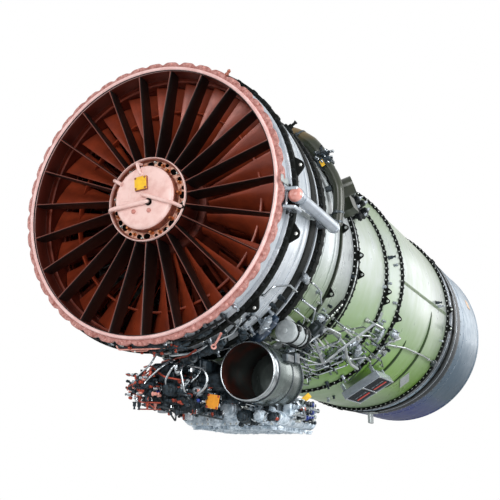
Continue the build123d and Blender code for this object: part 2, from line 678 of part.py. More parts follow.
def box_section(inset):
    """Crescent section of the gearbox housing, seen from the front, drawn in by the wall's thickness."""
    i = inset
    return make_face(Polyline((-96 + i, BOX_TOP - i), (135 - i, BOX_TOP - i), (135 - i, -644 - i),
                              (270 - i * 0.6, -644 - i), (294 - i, -664 - i * 0.3), (276 - i, -700 + i),
                              (-70 + i, -706 + i), (-110 + i, -660), close=True))


def box_slab(inset, front, rear):
    """Slab of the housing's section between two stations."""
    place = Plane(origin=(0, front, 0), x_dir=(1, 0, 0), z_dir=(0, -1, 0)).location
    return place * extrude(box_section(inset), front - rear)


def gearbox_housing():
    """Cast gearbox housing, open inside for its gears, with feet, ribs, a front pad and a bearing web."""
    rear = BOX_REAR - BOX_WALL
    outer = box_slab(0, BOX_FRONT, rear)
    hollow = box_slab(BOX_WALL, BOX_FRONT + BOX_WALL, BOX_WEB) + box_slab(BOX_WALL, BOX_WEB + 12, rear + 5)
    ribs = [Pos(x, (BOX_FRONT + rear) / 2, -702) * Box(8, 290, 16) for x in (-30, 60, 150, 240)]
    pad = disc_y(100, BOX_FRONT - 14, -640, 32, 15)
    feet = [Pos(-60, y, -520) * Box(40, 30, 88) for y in (510, 632)]
    body = outer + ribs + pad + feet - hollow - casing_form()
    body = body - bar((0, TOWER_Y, BOX_TOP + 5), (0, TOWER_Y, BOX_TOP - 20), TOWER_R + 5)
    for x in (0, SPUR_MODULE * SPUR_TEETH):
        body = body - disc_y(x, BOX_WEB - 5, BOX_AXIS_Z, BOX_SHAFT_R + RUNNING, 25)
    return body


def gearbox_cover():
    """Rear cover of the gearbox, with a blind bearing pocket for each shaft."""
    cover = box_slab(0, BOX_REAR - BOX_WALL, BOX_REAR)
    for x in (0, SPUR_MODULE * SPUR_TEETH):
        cover = cover - disc_y(x, BOX_REAR - BOX_WALL - 5, BOX_AXIS_Z, BOX_SHAFT_R + RUNNING, 13)
    return cover


def drive_gear():
    """Drive shaft of the gearbox: a bevel gear at its front and a spur gear behind the web."""
    place = Plane(origin=(0, TOWER_Y, BOX_AXIS_Z), x_dir=(0, 0, 1), z_dir=(0, 1, 0)).location
    front = TOWER_Y + BOX_GEAR_R * (1 - GEAR_FACE)
    shaft = disc_y(0, front, BOX_AXIS_Z, BOX_SHAFT_R, BOX_REAR - 5 - front)
    return shaft + mitre_gear(place, BOX_GEAR_R, BOX_SHAFT_R - 1, 180.0 / MITRE_TEETH) + \
        spur_gear(0, GEAR_STATION, BOX_AXIS_Z, BOX_SHAFT_R - 1, 16, 0)


def pump_gear():
    """Pump shaft of the gearbox, driven by the spur gear beside it."""
    x = SPUR_MODULE * SPUR_TEETH
    shaft = disc_y(x, BOX_WEB - 20, BOX_AXIS_Z, BOX_SHAFT_R, BOX_REAR - 5 - BOX_WEB + 20)
    return shaft + spur_gear(x, GEAR_STATION, BOX_AXIS_Z, BOX_SHAFT_R - 1, 16, 180.0 / SPUR_TEETH)


# Accessories

def open_duct():
    """Large round duct beside the gearbox, open at the front, on a foot and a bracket."""
    shell = turned((DUCT_FRONT, DUCT_R - 5), (DUCT_FRONT, DUCT_R), (DUCT_REAR, DUCT_R), (DUCT_REAR, 0),
                   (DUCT_REAR - 6, 0), (DUCT_REAR - 6, DUCT_R - 5))
    place = Pos(DUCT_X, 0, DUCT_Z)
    foot = Pos(DUCT_X, 505, -636) * Box(50, 40, 24)
    arm = Pos(180, 430, -462) * Rot(0, -25, 0) * Box(16, 30, 60)
    core = place * turned((0, 0), (0, DUCT_R - 1), (DUCT_REAR, DUCT_R - 1), (DUCT_REAR, 0))
    return place * shell + ((foot + arm) - core - casing_form() - box_slab(0, BOX_FRONT, BOX_REAR))


def control_unit():
    """Fuel control on the gearbox's front face: a stepped casting with round valve bodies."""
    body = Pos(-26, 404, -606) * Box(130, 148, 88)
    body = body + Pos(-40, 284, -596) * Box(150, 120, 96) + Pos(20, 300, -640) * Box(90, 90, 60)
    body = body + disc_y(-70, 128, -590, 34, 100) + disc_y(8, 160, -598, 26, 70)
    body = body + bar((-60, 270, -630), (-60, 270, -668), 24) + bar((30, 290, -660), (30, 290, -690), 20)
    body = body + bar((-100, 300, -580), (-140, 300, -580), 22)
    return body


def throttle_lever():
    """Lever on the fuel control's side shaft."""
    place = Plane(origin=(-140, 300, -580), x_dir=(0, 1, 0), z_dir=(-1, 0, 0)).location
    hub = place * extrude(RegularPolygon(15, 8), 12)
    return hub + Pos(-146, 300, -612) * Box(8, 18, 60) + Pos(-152, 300, -636) * Box(16, 8, 8)


def unit_plate():
    """Bare plate screwed to the front of the fuel control."""
    return Pos(64, 252, -640) * Box(44, 3, 46)


def accumulator():
    """Grey cylinder and a slim actuator beside it, on the lower right of the casing."""
    tank = disc_y(356, 350, -394, 38, 120) + disc_y(356, 470, -394, 44, 14)
    foot = on_case(138, 410, 480) * Box(50, 60, 60)
    return tank + (foot - casing_form())


def control_box():
    """Control box with two dark panels, on brackets under the front of the long duct."""
    place = on_case(148.7, 1500, 0)
    box = place * Pos(0, 0, 539) * Box(186, 214, 32)
    panels = [place * Pos(x, 0, 556) * Box(82, 190, 3) for x in (-45, 45)]
    legs = [place * Pos(x, y, 508) * Box(16, 14, 40) for x in (-76, 76) for y in (-88, 88)]
    return [box + panels + legs - casing_form()]


def oil_pipes():
    """Rigid pipes along the lower right of the ducts, with their junction block and the block at the rear end."""
    form = casing_form()
    runs = []
    for radius, reach, places in PIPE_RUNS:
        ends = [(places[0], 440), *((place, reach) for place in places), (places[-1], 440)]
        points = [(r * sin(radians(phi)), station, r * cos(radians(phi))) for (phi, station), r in ends]
        runs.append(pipe(points, radius) - form)
    junction = on_case(134, 640, 500) * Box(70, 60, 50) - form
    rear_block = on_case(123, 2196, 503) * Box(40, 32, 30) - form
    return [junction + runs[0] + runs[1], runs[2], runs[3] + rear_block, runs[4]]


def bleed_valve():
    """Olive duct stub and the valve pack behind it, on the upper right of the casing."""
    stub = bar((455, 600, 165), (505, 612, 185), 34)
    pack = on_case(70, 770, 450) * Box(60, 70, 70)
    return [stub - casing_form(), pack - casing_form()]


NODES = (
    inlet_ring, guide_vanes, hub_ring, nose_cover, nose_plate, nose_pipes, front_bearing,
    fan_case, fan_case_rear, case_lugs, fan_drum, fan_blades_front, fan_blades_rear, fan_stators, fan_exit_vanes,
    fan_shaft, fan_turbine, intermediate_case, frame_struts, duct_front, duct_ring, duct_rear, clamp_ring,
    tail_case, jet_pipe_liner, core_front_case, core_hub, burner_case, burner_liner, fuel_nozzles,
    core_compressor, core_stators, core_shaft, core_turbine, turbine_case, turbine_vanes, exhaust_frame, exhaust_cone,
    mixer, flame_holder, shaft_bearings, side_strut, top_mount, bleed_duct, tower_tube, tower_shaft,
    gearbox_housing, gearbox_cover, drive_gear, pump_gear, open_duct, control_unit, throttle_lever, unit_plate,
    accumulator, control_box, oil_pipes, bleed_valve,
)

for make in NODES:
    made = make()
    pieces = made if isinstance(made, list) else [made]
    solids = [solid for piece in pieces for solid in piece.solids()]
    export_step(Compound(children=solids, label=make.__name__), f"parts/{make.__name__}.step")
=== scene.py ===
import bpy
import numpy as np
from mathutils import Matrix


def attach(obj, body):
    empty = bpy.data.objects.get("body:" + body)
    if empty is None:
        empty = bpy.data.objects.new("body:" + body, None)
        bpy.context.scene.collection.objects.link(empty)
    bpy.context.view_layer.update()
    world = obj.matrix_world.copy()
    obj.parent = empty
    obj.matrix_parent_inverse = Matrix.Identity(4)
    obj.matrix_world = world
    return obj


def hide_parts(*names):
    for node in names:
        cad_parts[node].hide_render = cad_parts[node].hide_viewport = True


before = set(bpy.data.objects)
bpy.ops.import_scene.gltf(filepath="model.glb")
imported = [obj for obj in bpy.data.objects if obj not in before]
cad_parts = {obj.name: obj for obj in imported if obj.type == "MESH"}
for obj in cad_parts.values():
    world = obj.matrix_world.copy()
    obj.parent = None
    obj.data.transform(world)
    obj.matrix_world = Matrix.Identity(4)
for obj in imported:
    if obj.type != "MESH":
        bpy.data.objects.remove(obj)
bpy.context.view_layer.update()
TAU = 2 * np.pi

# Stations and radii of the casings, in millimetres: Y runs aft from the inlet flange, the axis is X = Z = 0
INLET_R, LIP_FRONT, SCALLOPS, SCALLOPED_FROM = 450.0, -10.0, 46, 470.0
VANES, HUB_R = 23, 143.0
FAN_STATIONS, FAN_TIP = (132, 248, 344), 446.0
MM = 0.001
ORIGIN, AFT, FORE, UP, DOWN = (0, 0, 0), (0, 1, 0), (0, -1, 0), (0, 0, 1), (0, 0, -1)
# Directions of a piece that faces forward: its X to the right, its Y upward, its Z forward
TO_FRONT = ((1, 0, 0), (0, 0, 1), (0, -1, 0))


# Shapes: each is (points, [faces]), faces being arrays of corner numbers

def outward(points, faces):
    """Turns a closed skin's faces outward: the sum of its corner-to-origin wedge volumes must be positive."""
    total = 0.0
    for f in faces:
        for b, c in ((1, 2), (2, 3))[:f.shape[1] - 2]:
            total += np.einsum("ij,ij->i", points[f[:, 0]], np.cross(points[f[:, b]], points[f[:, c]])).sum()
    return points, faces if total > 0 else [f[:, ::-1] for f in faces]


def loft(rings, closed=False):
    """Skin over rings of points (rings, around, 3): quads from ring to ring, the last joined to the first if
    it is closed, and a fan on each end if it isn't."""
    n, k = rings.shape[:2]
    at = np.arange(n * k).reshape(n, k)
    low = at if closed else at[:-1]
    high = np.roll(at, -1, 0) if closed else at[1:]
    quads = np.stack([low, np.roll(low, -1, 1), np.roll(high, -1, 1), high], -1).reshape(-1, 4)
    points = rings.reshape(-1, 3)
    if closed:
        return outward(points, [quads])
    points = np.vstack([points, rings[0].mean(0), rings[-1].mean(0)])
    first, last = at[0], at[-1]
    fans = [np.stack([np.roll(first, -1), first, np.full(k, n * k)], -1),
            np.stack([last, np.roll(last, -1), np.full(k, n * k + 1)], -1)]
    return outward(points, [quads] + fans)


def soften(corners, cut, steps=3, closed=True):
    """Rounds an outline's corners: each becomes a short parabola between points set back along its sides."""
    p = np.asarray(corners, float)
    before, after = np.roll(p, 1, 0) - p, np.roll(p, -1, 0) - p
    lb, la = np.linalg.norm(before, axis=1), np.linalg.norm(after, axis=1)
    back = np.minimum(cut, 0.45 * np.minimum(lb, la))
    a, b = p + before * (back / lb)[:, None], p + after * (back / la)[:, None]
    t = np.linspace(0, 1, steps)[None, :, None]
    out = a[:, None] * (1 - t) ** 2 + 2 * p[:, None] * t * (1 - t) + b[:, None] * t ** 2
    if not closed:
        return np.vstack([p[:1], out[1:-1].reshape(-1, p.shape[1]), p[-1:]])
    return out.reshape(-1, p.shape[1])


def turned(outline, cut=1.5, around=240, wave=None):
    """Ring about the engine axis from a closed (station, radius) outline; wave(angle) adds to outer radii."""
    edge = soften(outline, cut)
    phi = np.radians(np.linspace(0.0, 360.0, around, endpoint=False))
    r = np.repeat(edge[None, :, 1], around, 0)
    if wave is not None:
        r = np.where(r > SCALLOPED_FROM, r + wave(phi)[:, None], r)
    rings = np.stack([r * np.sin(phi)[:, None], np.repeat(edge[None, :, 0], around, 0),
                      r * np.cos(phi)[:, None]], -1)
    return loft(rings, closed=True)


def band(front, rear, low, high, cut=1.2, around=240, wave=None):
    """Plain ring round the casings from its front and rear stations and its inner and outer radii."""
    return turned([(front, low), (front, high), (rear, high), (rear, low)], cut, around, wave)


def spun(outline, origin, axis, around=32, cut=0.8):
    """Solid turned about its own axis from an open (along, radius) outline, its ends closed with fans."""
    edge = soften(outline, cut, closed=False)
    z, x, y = frame_of(axis)
    turn = np.linspace(0, TAU, around, endpoint=False)
    circle = np.cos(turn)[:, None] * x + np.sin(turn)[:, None] * y
    rings = np.asarray(origin, float) + edge[:, 0, None, None] * z + edge[:, 1, None, None] * circle
    return loft(rings)


def hollow(outline, origin, axis, around=64, cut=0.8):
    """Ring or open tube turned about its own axis from a closed (along, radius) outline."""
    edge = soften(outline, cut)
    z, x, y = frame_of(axis)
    turn = np.linspace(0, TAU, around, endpoint=False)
    circle = (np.cos(turn)[:, None] * x + np.sin(turn)[:, None] * y)[:, None]
    return loft(np.asarray(origin, float) + edge[None, :, :1] * z + edge[None, :, 1:] * circle, closed=True)


def sleeve(front, rear, low, high, origin, axis=AFT, around=64, cut=0.8):
    """Plain ring about its own axis, from its two ends along it and its inner and outer radii."""
    return hollow([(front, low), (front, high), (rear, high), (rear, low)], origin, axis, around, cut)


def rod(front, rear, radius, origin, axis=AFT, around=32, cut=0.8):
    """Plain round piece about its own axis, from its two ends along it."""
    return spun([(front, 0), (front, radius), (rear, radius), (rear, 0)], origin, axis, around, cut)


def stack(steps, around=14, cut=0.5):
    """Stepped round part along Z from its foot: each step is (radius, length)."""
    outline, z = [(0, 0)], 0.0
    for r, length in steps:
        outline += [(z, r), (z + length, r)]
        z += length
    return spun(outline + [(z, 0)], ORIGIN, UP, around, cut)


def frame_of(axis):
    """Unit axis and two unit directions square to it."""
    z = np.asarray(axis, float)
    z = z / np.linalg.norm(z)
    x = np.cross(z, np.eye(3)[np.argmin(np.abs(z))])
    x /= np.linalg.norm(x)
    return z, x, np.cross(z, x)


def tube(path, radius, sides=12):
    """Round tube: circles square to the path's tangent, turned from the direction least in line with it."""
    path = np.asarray(path, float)
    t = np.gradient(path, axis=0)
    t /= np.linalg.norm(t, axis=1)[:, None]
    tries = np.stack(np.meshgrid(*[np.linspace(-1, 1, 7)] * 3), -1).reshape(-1, 3)
    tries = tries[np.linalg.norm(tries, axis=1) > 0.1]
    tries /= np.linalg.norm(tries, axis=1)[:, None]
    ref = tries[np.argmin(np.abs(tries @ t.T).max(1))]
    x = np.cross(t, ref)
    x /= np.linalg.norm(x, axis=1)[:, None]
    y = np.cross(t, x)
    turn = np.linspace(0, TAU, sides, endpoint=False)[None, :, None]
    r = np.broadcast_to(np.asarray(radius, float), len(path))[:, None, None]
    return loft(path[:, None] + r * (np.cos(turn) * x[:, None] + np.sin(turn) * y[:, None]))


def route(points, bend=22.0, steps=6):
    """Bent pipe's middle line: straight runs joined by parabolas at the corners."""
    return soften(points, bend, steps, closed=False)


def block(size, cut=2.0):
    """Box about the origin with all its edges cut back."""
    a, b, c = np.asarray(size, float) / 2
    def ring(shrink, z):
        u, v = a - shrink, b - shrink
        k = min(cut, 0.4 * min(a, b))
        return [(u - k, v, z), (-u + k, v, z), (-u, v - k, z), (-u, -v + k, z), (-u + k, -v, z),
                (u - k, -v, z), (u, -v + k, z), (u, v - k, z)]
    k = min(cut, 0.4 * min(a, b, c))
    return loft(np.array([ring(k, -c), ring(0, -c + k), ring(0, c - k), ring(k, c)]))


def slab(outline, low, high, cut=2.0):
    """Flat piece from a closed outline in its own X and Y, from low to high in Z, with cut edges."""
    edge = np.asarray(outline, float)
    middle = edge.mean(0)
    def ring(scale_by, z):
        pulled = middle + (edge - middle) * scale_by
        return np.column_stack([pulled, np.full(len(edge), z)])
    shrink = 1 - cut / np.abs(edge - middle).max()
    k = cut if high > low else -cut
    return loft(np.stack([ring(shrink, low), ring(1, low + k), ring(1, high - k), ring(shrink, high)]))


def put(shape, origin, x=(1, 0, 0), y=(0, 1, 0), z=(0, 0, 1)):
    """Moves a shape's own axes onto the given directions and its origin onto the given point."""
    points, faces = shape
    return outward(points @ np.array([x, y, z], float) + np.asarray(origin, float), faces)


def copies(shape, origins, x, y, z):
    """Repeats a shape at many places, each with its own three directions, as one shape."""
    points, faces = shape
    n = len(origins)
    axes = np.stack([np.broadcast_to(np.asarray(d, float), (n, 3)) for d in (x, y, z)], 1)
    moved = np.einsum("kj,njd->nkd", points, axes) + np.asarray(origins, float)[:, None]
    shift = (np.arange(n) * len(points))[:, None, None]
    out = moved.reshape(-1, 3), [(f[None] + shift).reshape(-1, f.shape[1]) for f in faces]
    return outward(*out)


def stand(shape, spots, normals):
    """Stands copies of a shape at spots, its Z along each normal or along the one that is given."""
    z = np.broadcast_to(np.asarray(normals, float), np.shape(spots))
    z = z / np.linalg.norm(z, axis=1)[:, None]
    x = np.cross(z, (0.31, 0.87, 0.38))
    x /= np.linalg.norm(x, axis=1)[:, None]
    return copies(shape, spots, x, np.cross(z, x), z)


def on_case(phi, radius, station):
    """Point on the casings: phi in degrees, clockwise from the top seen from the front."""
    a = np.radians(phi)
    return np.stack(np.broadcast_arrays(radius * np.sin(a), station, radius * np.cos(a)), -1).astype(float)


def sides_of(phi):
    """Directions at an angle on the casings: round it, aft and outward."""
    a = np.radians(np.asarray(phi, float))
    nil = np.zeros_like(a)
    return (np.stack([np.cos(a), nil, -np.sin(a)], -1), np.stack([nil, nil + 1, nil], -1),
            np.stack([np.sin(a), nil, np.cos(a)], -1))


def on_surface(shape, phi, radius, station, turn=0.0):
    """Puts a shape on the casings: its X goes round, its Y aft and its Z outward, turned about Z."""
    x, y, z = sides_of(phi)
    c, s = np.cos(np.radians(turn)), np.sin(np.radians(turn))
    return put(shape, on_case(phi, radius, station), x * c + y * s, y * c - x * s, z)


# Outer line of the casings, as (station, radius)
CASE_LINE = np.array([(0, 483), (12, 466), (66, 466), (67, 493), (94, 493), (95, 477), (300, 477), (301, 464),
                      (343, 464), (350, 482), (385, 482), (386, 460), (589, 460), (590, 468), (603, 468),
                      (604, 450), (901, 412), (902, 425), (943, 425), (944, 416), (1242, 442), (1243, 453),
                      (1254, 453), (1255, 450), (1288, 450), (1336, 486), (1337, 498), (1348, 498),
                      (1349, 491), (2223, 491), (2224, 504), (2235, 504), (2236, 500), (2450, 500),
                      (3083, 499)])


def skin(station):
    """Outer radius of the casings at a station."""
    return np.interp(station, CASE_LINE[:, 0], CASE_LINE[:, 1])


def on_skin(spots):
    """Feet a millimetre under the casings' skin at rows of (angle, station), and the directions outward."""
    return on_case(spots[:, 0], skin(spots[:, 1]) - 1, spots[:, 1]), sides_of(spots[:, 0])[2]


def bolt(radius, height):
    """Six-sided bolt head on a thin washer, standing along Z."""
    def ring(r, z, k):
        t = np.linspace(0, TAU, k, endpoint=False)
        return np.stack([r * np.cos(t), r * np.sin(t), np.full(k, z)], -1)
    head = loft(np.array([ring(radius, 0, 6), ring(radius, 0.8 * height, 6), ring(0.75 * radius, height, 6)]))
    washer = loft(np.array([ring(1.35 * radius, 0, 10), ring(1.35 * radius, 0.22 * height, 10)]))
    return join(head, washer)


def blocks(*rows):
    """Blocks in the engine's frame: each row is (size, cut, place), with three directions if it is turned."""
    return [put(block(size, cut), *place) for size, cut, *place in rows]


def pads(*rows):
    """Blocks on the casings: each row is (size, cut, angle, radius, station), with a turn if it has one."""
    return [on_surface(block(size, cut), *place) for size, cut, *place in rows]


def corners_of(middle, half, right, up):
    """Four spots round the middle of a plate, half of their pitch away from it along two directions."""
    corner = np.array([(-1, -1), (1, -1), (1, 1), (-1, 1)]) * np.asarray(half, float)
    return np.asarray(middle, float) + corner[:, :1] * right + corner[:, 1:] * up


def join(*shapes):
    """Several shapes as one."""
    points, faces, base = [], [], 0
    for p, fs in shapes:
        points.append(p)
        faces += [f + base for f in fs]
        base += len(p)
    return np.vstack(points), faces


def bolt_circle(count, pitch_r, station, facing, size):
    """Bolt heads round a flange, facing forward (-1) or aft (+1)."""
    phi = np.arange(count) * 360.0 / count
    x, y, z = sides_of(phi)
    return copies(bolt(*size), on_case(phi, pitch_r, station), x, z * -facing, y * facing)


def make(name, shapes, material, body="engine", hard=32.0, replaces=()):
    """One mesh object from shapes in millimetres, smooth but for edges sharper than the given angle."""
    points, faces = join(*shapes) if isinstance(shapes, list) else shapes
    loops = np.concatenate([f.ravel() for f in faces])
    sizes = np.concatenate([np.full(len(f), f.shape[1]) for f in faces])
    mesh = bpy.data.meshes.new(name)
    mesh.vertices.add(len(points))
    mesh.vertices.foreach_set("co", (points * MM).ravel())
    mesh.loops.add(len(loops))
    mesh.loops.foreach_set("vertex_index", loops.astype(np.int32))
    mesh.polygons.add(len(sizes))
    mesh.polygons.foreach_set("loop_start", np.concatenate(([0], np.cumsum(sizes)[:-1])).astype(np.int32))
    mesh.update(calc_edges=True)
    mesh.validate()
    mesh.shade_smooth()
    mesh.set_sharp_from_angle(angle=np.radians(hard))
    piece = bpy.data.objects.new(name, mesh)
    bpy.context.collection.objects.link(piece)
    mesh.materials.append(material)
    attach(piece, body)
    if replaces:
        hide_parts(*replaces)
    return piece


# Finishes

def colour(code):
    """Linear colour of an sRGB hex value."""
    c = np.array([int(code[i:i + 2], 16) for i in (1, 3, 5)]) / 255.0
    return (*np.where(c <= 0.04045, c / 12.92, ((c + 0.055) / 1.055) ** 2.4), 1.0)


def add(tree, kind, inputs=None, **settings):
    """Adds a node: settings are its own values, and inputs are joined to sockets or set to values."""
    made = tree.nodes.new(kind)
    for key, value in settings.items():
        setattr(made, key, value)
    for key, value in (inputs or {}).items():
        if isinstance(value, bpy.types.NodeSocket):
            tree.links.new(value, made.inputs[key])
        else:
            made.inputs[key].default_value = value
    return made


def finish(name, base, worn, rough, metallic=0.0, grain_mm=20.0, share=(0.35, 0.7), bump=0.05, bump_mm=1.5,
           coat=0.0, ior=None, zone=None, streak=None):
    """Finish with two mixed tones in soft patches, roughness that follows them and a fine unevenness.

    zone is (make, colour), or several of them: make gets the tree and the place socket and returns a mask for
    a tone. streak stretches the patches along one direction, as brushing, turning or run-off does.
    """
    mat = bpy.data.materials.new(name)
    mat.use_nodes = True
    tree = mat.node_tree
    shader = tree.nodes["Principled BSDF"]
    place = add(tree, "ShaderNodeTexCoord").outputs["Object"]
    where = place
    if streak:
        where = add(tree, "ShaderNodeMapping", {"Vector": place, "Scale": streak}).outputs["Vector"]
    patches = add(tree, "ShaderNodeTexNoise", {"Vector": where, "Scale": 1000.0 / grain_mm, "Detail": 6.0,
                                               "Roughness": 0.62})
    mask = add(tree, "ShaderNodeMapRange", {"Value": patches.outputs["Fac"], "From Min": share[0],
                                            "From Max": share[1]})
    tone = add(tree, "ShaderNodeMix", {"Factor": mask.outputs["Result"]}, data_type="RGBA")
    tone.inputs[6].default_value = colour(base)
    tone.inputs[7].default_value = colour(worn)
    out = tone.outputs[2]
    for mark, code in (zone if zone and isinstance(zone[0], tuple) else (zone,) if zone else ()):
        third = add(tree, "ShaderNodeMix", {"Factor": mark(tree, place)}, data_type="RGBA")
        tree.links.new(out, third.inputs[6])
        third.inputs[7].default_value = colour(code)
        out = third.outputs[2]
    tree.links.new(out, shader.inputs["Base Color"])
    fine = add(tree, "ShaderNodeTexNoise", {"Vector": where, "Scale": 1000.0 / bump_mm, "Detail": 3.0})
    sheen = add(tree, "ShaderNodeMapRange", {"Value": patches.outputs["Fac"], "From Min": 0.3,
                                             "From Max": 0.7, "To Min": max(0.05, rough - 0.07),
                                             "To Max": rough + 0.09})
    tree.links.new(sheen.outputs["Result"], shader.inputs["Roughness"])
    uneven = add(tree, "ShaderNodeBump", {"Height": fine.outputs["Fac"], "Strength": bump, "Distance": MM})
    tree.links.new(uneven.outputs["Normal"], shader.inputs["Normal"])
    shader.inputs["Metallic"].default_value = metallic
    shader.inputs["Coat Weight"].default_value = coat
    if ior:
        shader.inputs["IOR"].default_value = ior
    return mat


def past(axis, low, high):
    """Mask that rises from one to another value of a coordinate, in millimetres."""
    def mask(tree, place):
        parts = add(tree, "ShaderNodeSeparateXYZ", {"Vector": place})
        step = add(tree, "ShaderNodeMapRange", {"Value": parts.outputs[axis], "From Min": low * MM,
                                                "From Max": high * MM})
        return step.outputs["Result"]
    return mask


def inside(low, high):
    """Mask for the casings' bore: it falls from one to another distance from the axis, in millimetres."""
    def mask(tree, place):
        flat = add(tree, "ShaderNodeVectorMath", {0: place, 1: (1.0, 0.0, 1.0)}, operation="MULTIPLY")
        reach = add(tree, "ShaderNodeVectorMath", {0: flat.outputs["Vector"]}, operation="LENGTH")
        step = add(tree, "ShaderNodeMapRange", {"Value": reach.outputs["Value"], "From Min": high * MM,
                                                "From Max": low * MM})
        return step.outputs["Result"]
    return mask


# Epoxy paint sprayed on the inlet: pale, chalky, rubbed pinker, and dark red where it turns inward into the
# bore, as painted shade and painted red light
LIP_PAINT = finish("lip_epoxy_and_bore_shade", "#E8C4C0", "#D29E98", 0.38, grain_mm=35, share=(0.42, 0.75),
                   zone=(past("Y", 1.0, 5.0), "#4A1A12"))
# The same on the flange: mottled from pink to brick
FLANGE_PAINT = finish("epoxy_paint_flange", "#BE8A83", "#8A4A40", 0.42, grain_mm=14, share=(0.4, 0.65),
                      bump=0.1)
# The same on the bearing housing and its cover: the cleanest and palest of it, dark red where it runs into
# the bore as painted shade and painted red light
HUB_PAINT = finish("hub_epoxy_and_bore_shade", "#ECC9C2", "#D09A90", 0.34, grain_mm=50, share=(0.45, 0.8),
                   zone=(past("Y", 1.0, 5.0), "#4A1A12"))
# Worn paint in the cover's trough, brushed and chipped: blotches of pink over brown-red
TROUGH = finish("worn_pink_paint", "#E2B29C", "#8A4632", 0.42, metallic=0.1, grain_mm=11, share=(0.45, 0.62),
                bump=0.25)
# Aged copper paint, brushed: a brown-red that glints a little; on the cover's side wall and the yellow
# plate's block it is painted shade
COPPER_AND_SHADE = finish("copper_paint_and_painted_shade", "#9C5A46", "#5A281C", 0.36, metallic=0.3, grain_mm=18,
                      share=(0.4, 0.7), bump=0.1)
# Painted shade: near black for the depth of open holes, sockets and gaps, which give back no light
DEPTH_SHADE = finish("shadowed_opening", "#050403", "#0A0706", 0.9, grain_mm=10, bump=0.02, ior=1.1)
# Copper plated steel bolts: small orange-brown glints
COPPER_BOLT = finish("copper_plated_bolt", "#D98E5C", "#8E4C2C", 0.32, metallic=0.8, grain_mm=6)
# Epoxy paint over fittings and a cap, sprayed: dusty pink, the cap glossier
PAINTED_BITS = finish("epoxy_paint_fittings", "#D8A9A2", "#B37468", 0.36, grain_mm=15)
PINK_CAP = finish("epoxy_paint_cap", "#D79A90", "#B0685C", 0.3, coat=0.3)
# Baked enamel on the inlet vanes, sprayed: dark, made nearly black as painted shade of their sides, with a
# red-brown leading edge that is a painted highlight
VANE_SHADE_PAINT = finish("dark_enamel_painted_shade_and_highlight", "#0A0706", "#160A08", 0.45, grain_mm=25,
                    zone=(past("Y", 3.6, 2.6), "#7E463C"))
# Satin red over forged titanium blades, partly baked enamel and partly painted red light of the lit interior,
# and a deeper, duller copy in the bore that adds painted shade
BLADE_RED_LIT = finish("red_enamel_and_painted_red_light", "#A04226", "#6C2817", 0.34, metallic=0.1, grain_mm=60, share=(0.3, 0.75))
BORE_RED_SHADED = finish("deep_red_enamel_painted_shade", "#7C3422", "#471A12", 0.46, metallic=0.1, grain_mm=50,
                      bump=0.06)
# Cast magnesium casings in aluminium lacquer, machined: satin grey, streaked round, and dark red in the bore
# as painted shade and painted red light
CASING = finish("aluminium_lacquer", "#CAD0D6", "#A9B3BC", 0.3, metallic=0.25, grain_mm=80,
                share=(0.35, 0.75), bump=0.04, streak=(1.0, 3.0, 1.0), coat=0.2,
                zone=(inside(451.0, 453.0), "#5E2418"))
# The middle case's tinted copy: pale grey on the side as a painted highlight, green towards the bottom as
# painted shade
MID_CASE_LIT = finish("tinted_aluminium_lacquer_painted_light", "#C3C9CC", "#AEB6B6", 0.3, metallic=0.2, grain_mm=110,
                share=(0.3, 0.75), bump=0.04, streak=(1.0, 2.5, 1.0), coat=0.1,
                zone=(past("Z", -90.0, -330.0), "#6C8450"))
# Blue-grey enamel, sprayed and glossy: a dark, wet-looking skin
DEEP_BLUE = finish("blue_grey_enamel", "#33465C", "#232F40", 0.3, coat=0.4)
# Machined aluminium: silvery, with soft reflections
ALLOY = finish("machined_aluminium", "#B4BBC2", "#7F8992", 0.26, metallic=0.7, grain_mm=30, bump=0.04)
# Black oxide steel of the joint flanges, blasted: matt, with a dusty bloom
FLANGE = finish("black_oxide_steel", "#060807", "#101412", 0.6, grain_mm=12, bump=0.12, ior=1.2)
# Cadmium plated steel, cold headed: small bright glints
BOLT = finish("cadmium_plated_steel", "#D8DCDA", "#8E948E", 0.3, metallic=0.85, grain_mm=6)
# Phosphated steel, cold headed: near black, with a faint sheen
DARK_BOLT = finish("phosphated_steel", "#0B0E0F", "#1A2022", 0.45, metallic=0.1, grain_mm=6, ior=1.3)
# Rolled titanium ducts in clear green lacquer: pale on the side as a painted highlight, green-grey on top and
# deep green below as painted shade, paler again lowest down
GREEN_DUCT_LIT = finish("green_lacquer_painted_light", "#B0B8B7", "#A2AE9D", 0.32, metallic=0.12, grain_mm=120,
                    share=(0.3, 0.75), bump=0.03, streak=(1.0, 2.2, 1.0),
                    zone=((past("Z", 90.0, 400.0), "#8C9E7C"), (past("Z", -50.0, -370.0), "#779F4A"),
                          (past("Z", -405.0, -480.0), "#94AE88")))
# The same lacquer in thick coats on ribs and seams, and nearly black on a flange: dark green lines
RIB_GREEN = finish("green_lacquer_dark", "#2B431C", "#1B2C12", 0.45, grain_mm=25, bump=0.06, ior=1.3)
SEAM_GREEN = finish("green_lacquer_seam", "#5A6E4C", "#45583A", 0.4, grain_mm=25, bump=0.06, ior=1.3)
OLIVE_BAND = finish("olive_black_lacquer", "#20291A", "#141A12", 0.42, bump=0.06, ior=1.3)
# Nickel alloy sheet of the tail, rolled: dull blue-grey, turned deep blue by heat along its lowest part
TAIL = finish("nickel_alloy_sheet", "#8093A3", "#5F7486", 0.32, metallic=0.2, grain_mm=60, share=(0.4, 0.8),
              bump=0.06, zone=((past("Z", 60.0, -330.0), "#3F5668"), (past("Z", -385.0, -470.0), "#082A78")))
# Rolled steel rings, oiled: dark blue-black with a soft sheen, the plate paler towards its lowest part
RING_STEEL = finish("rolled_steel_ring", "#12181C", "#222B31", 0.38, ior=1.25)
RING_PLATE = finish("rolled_ring_plate", "#1E272E", "#303C45", 0.36, ior=1.3,
                    zone=(past("Z", -260.0, -430.0), "#7E94A4"))
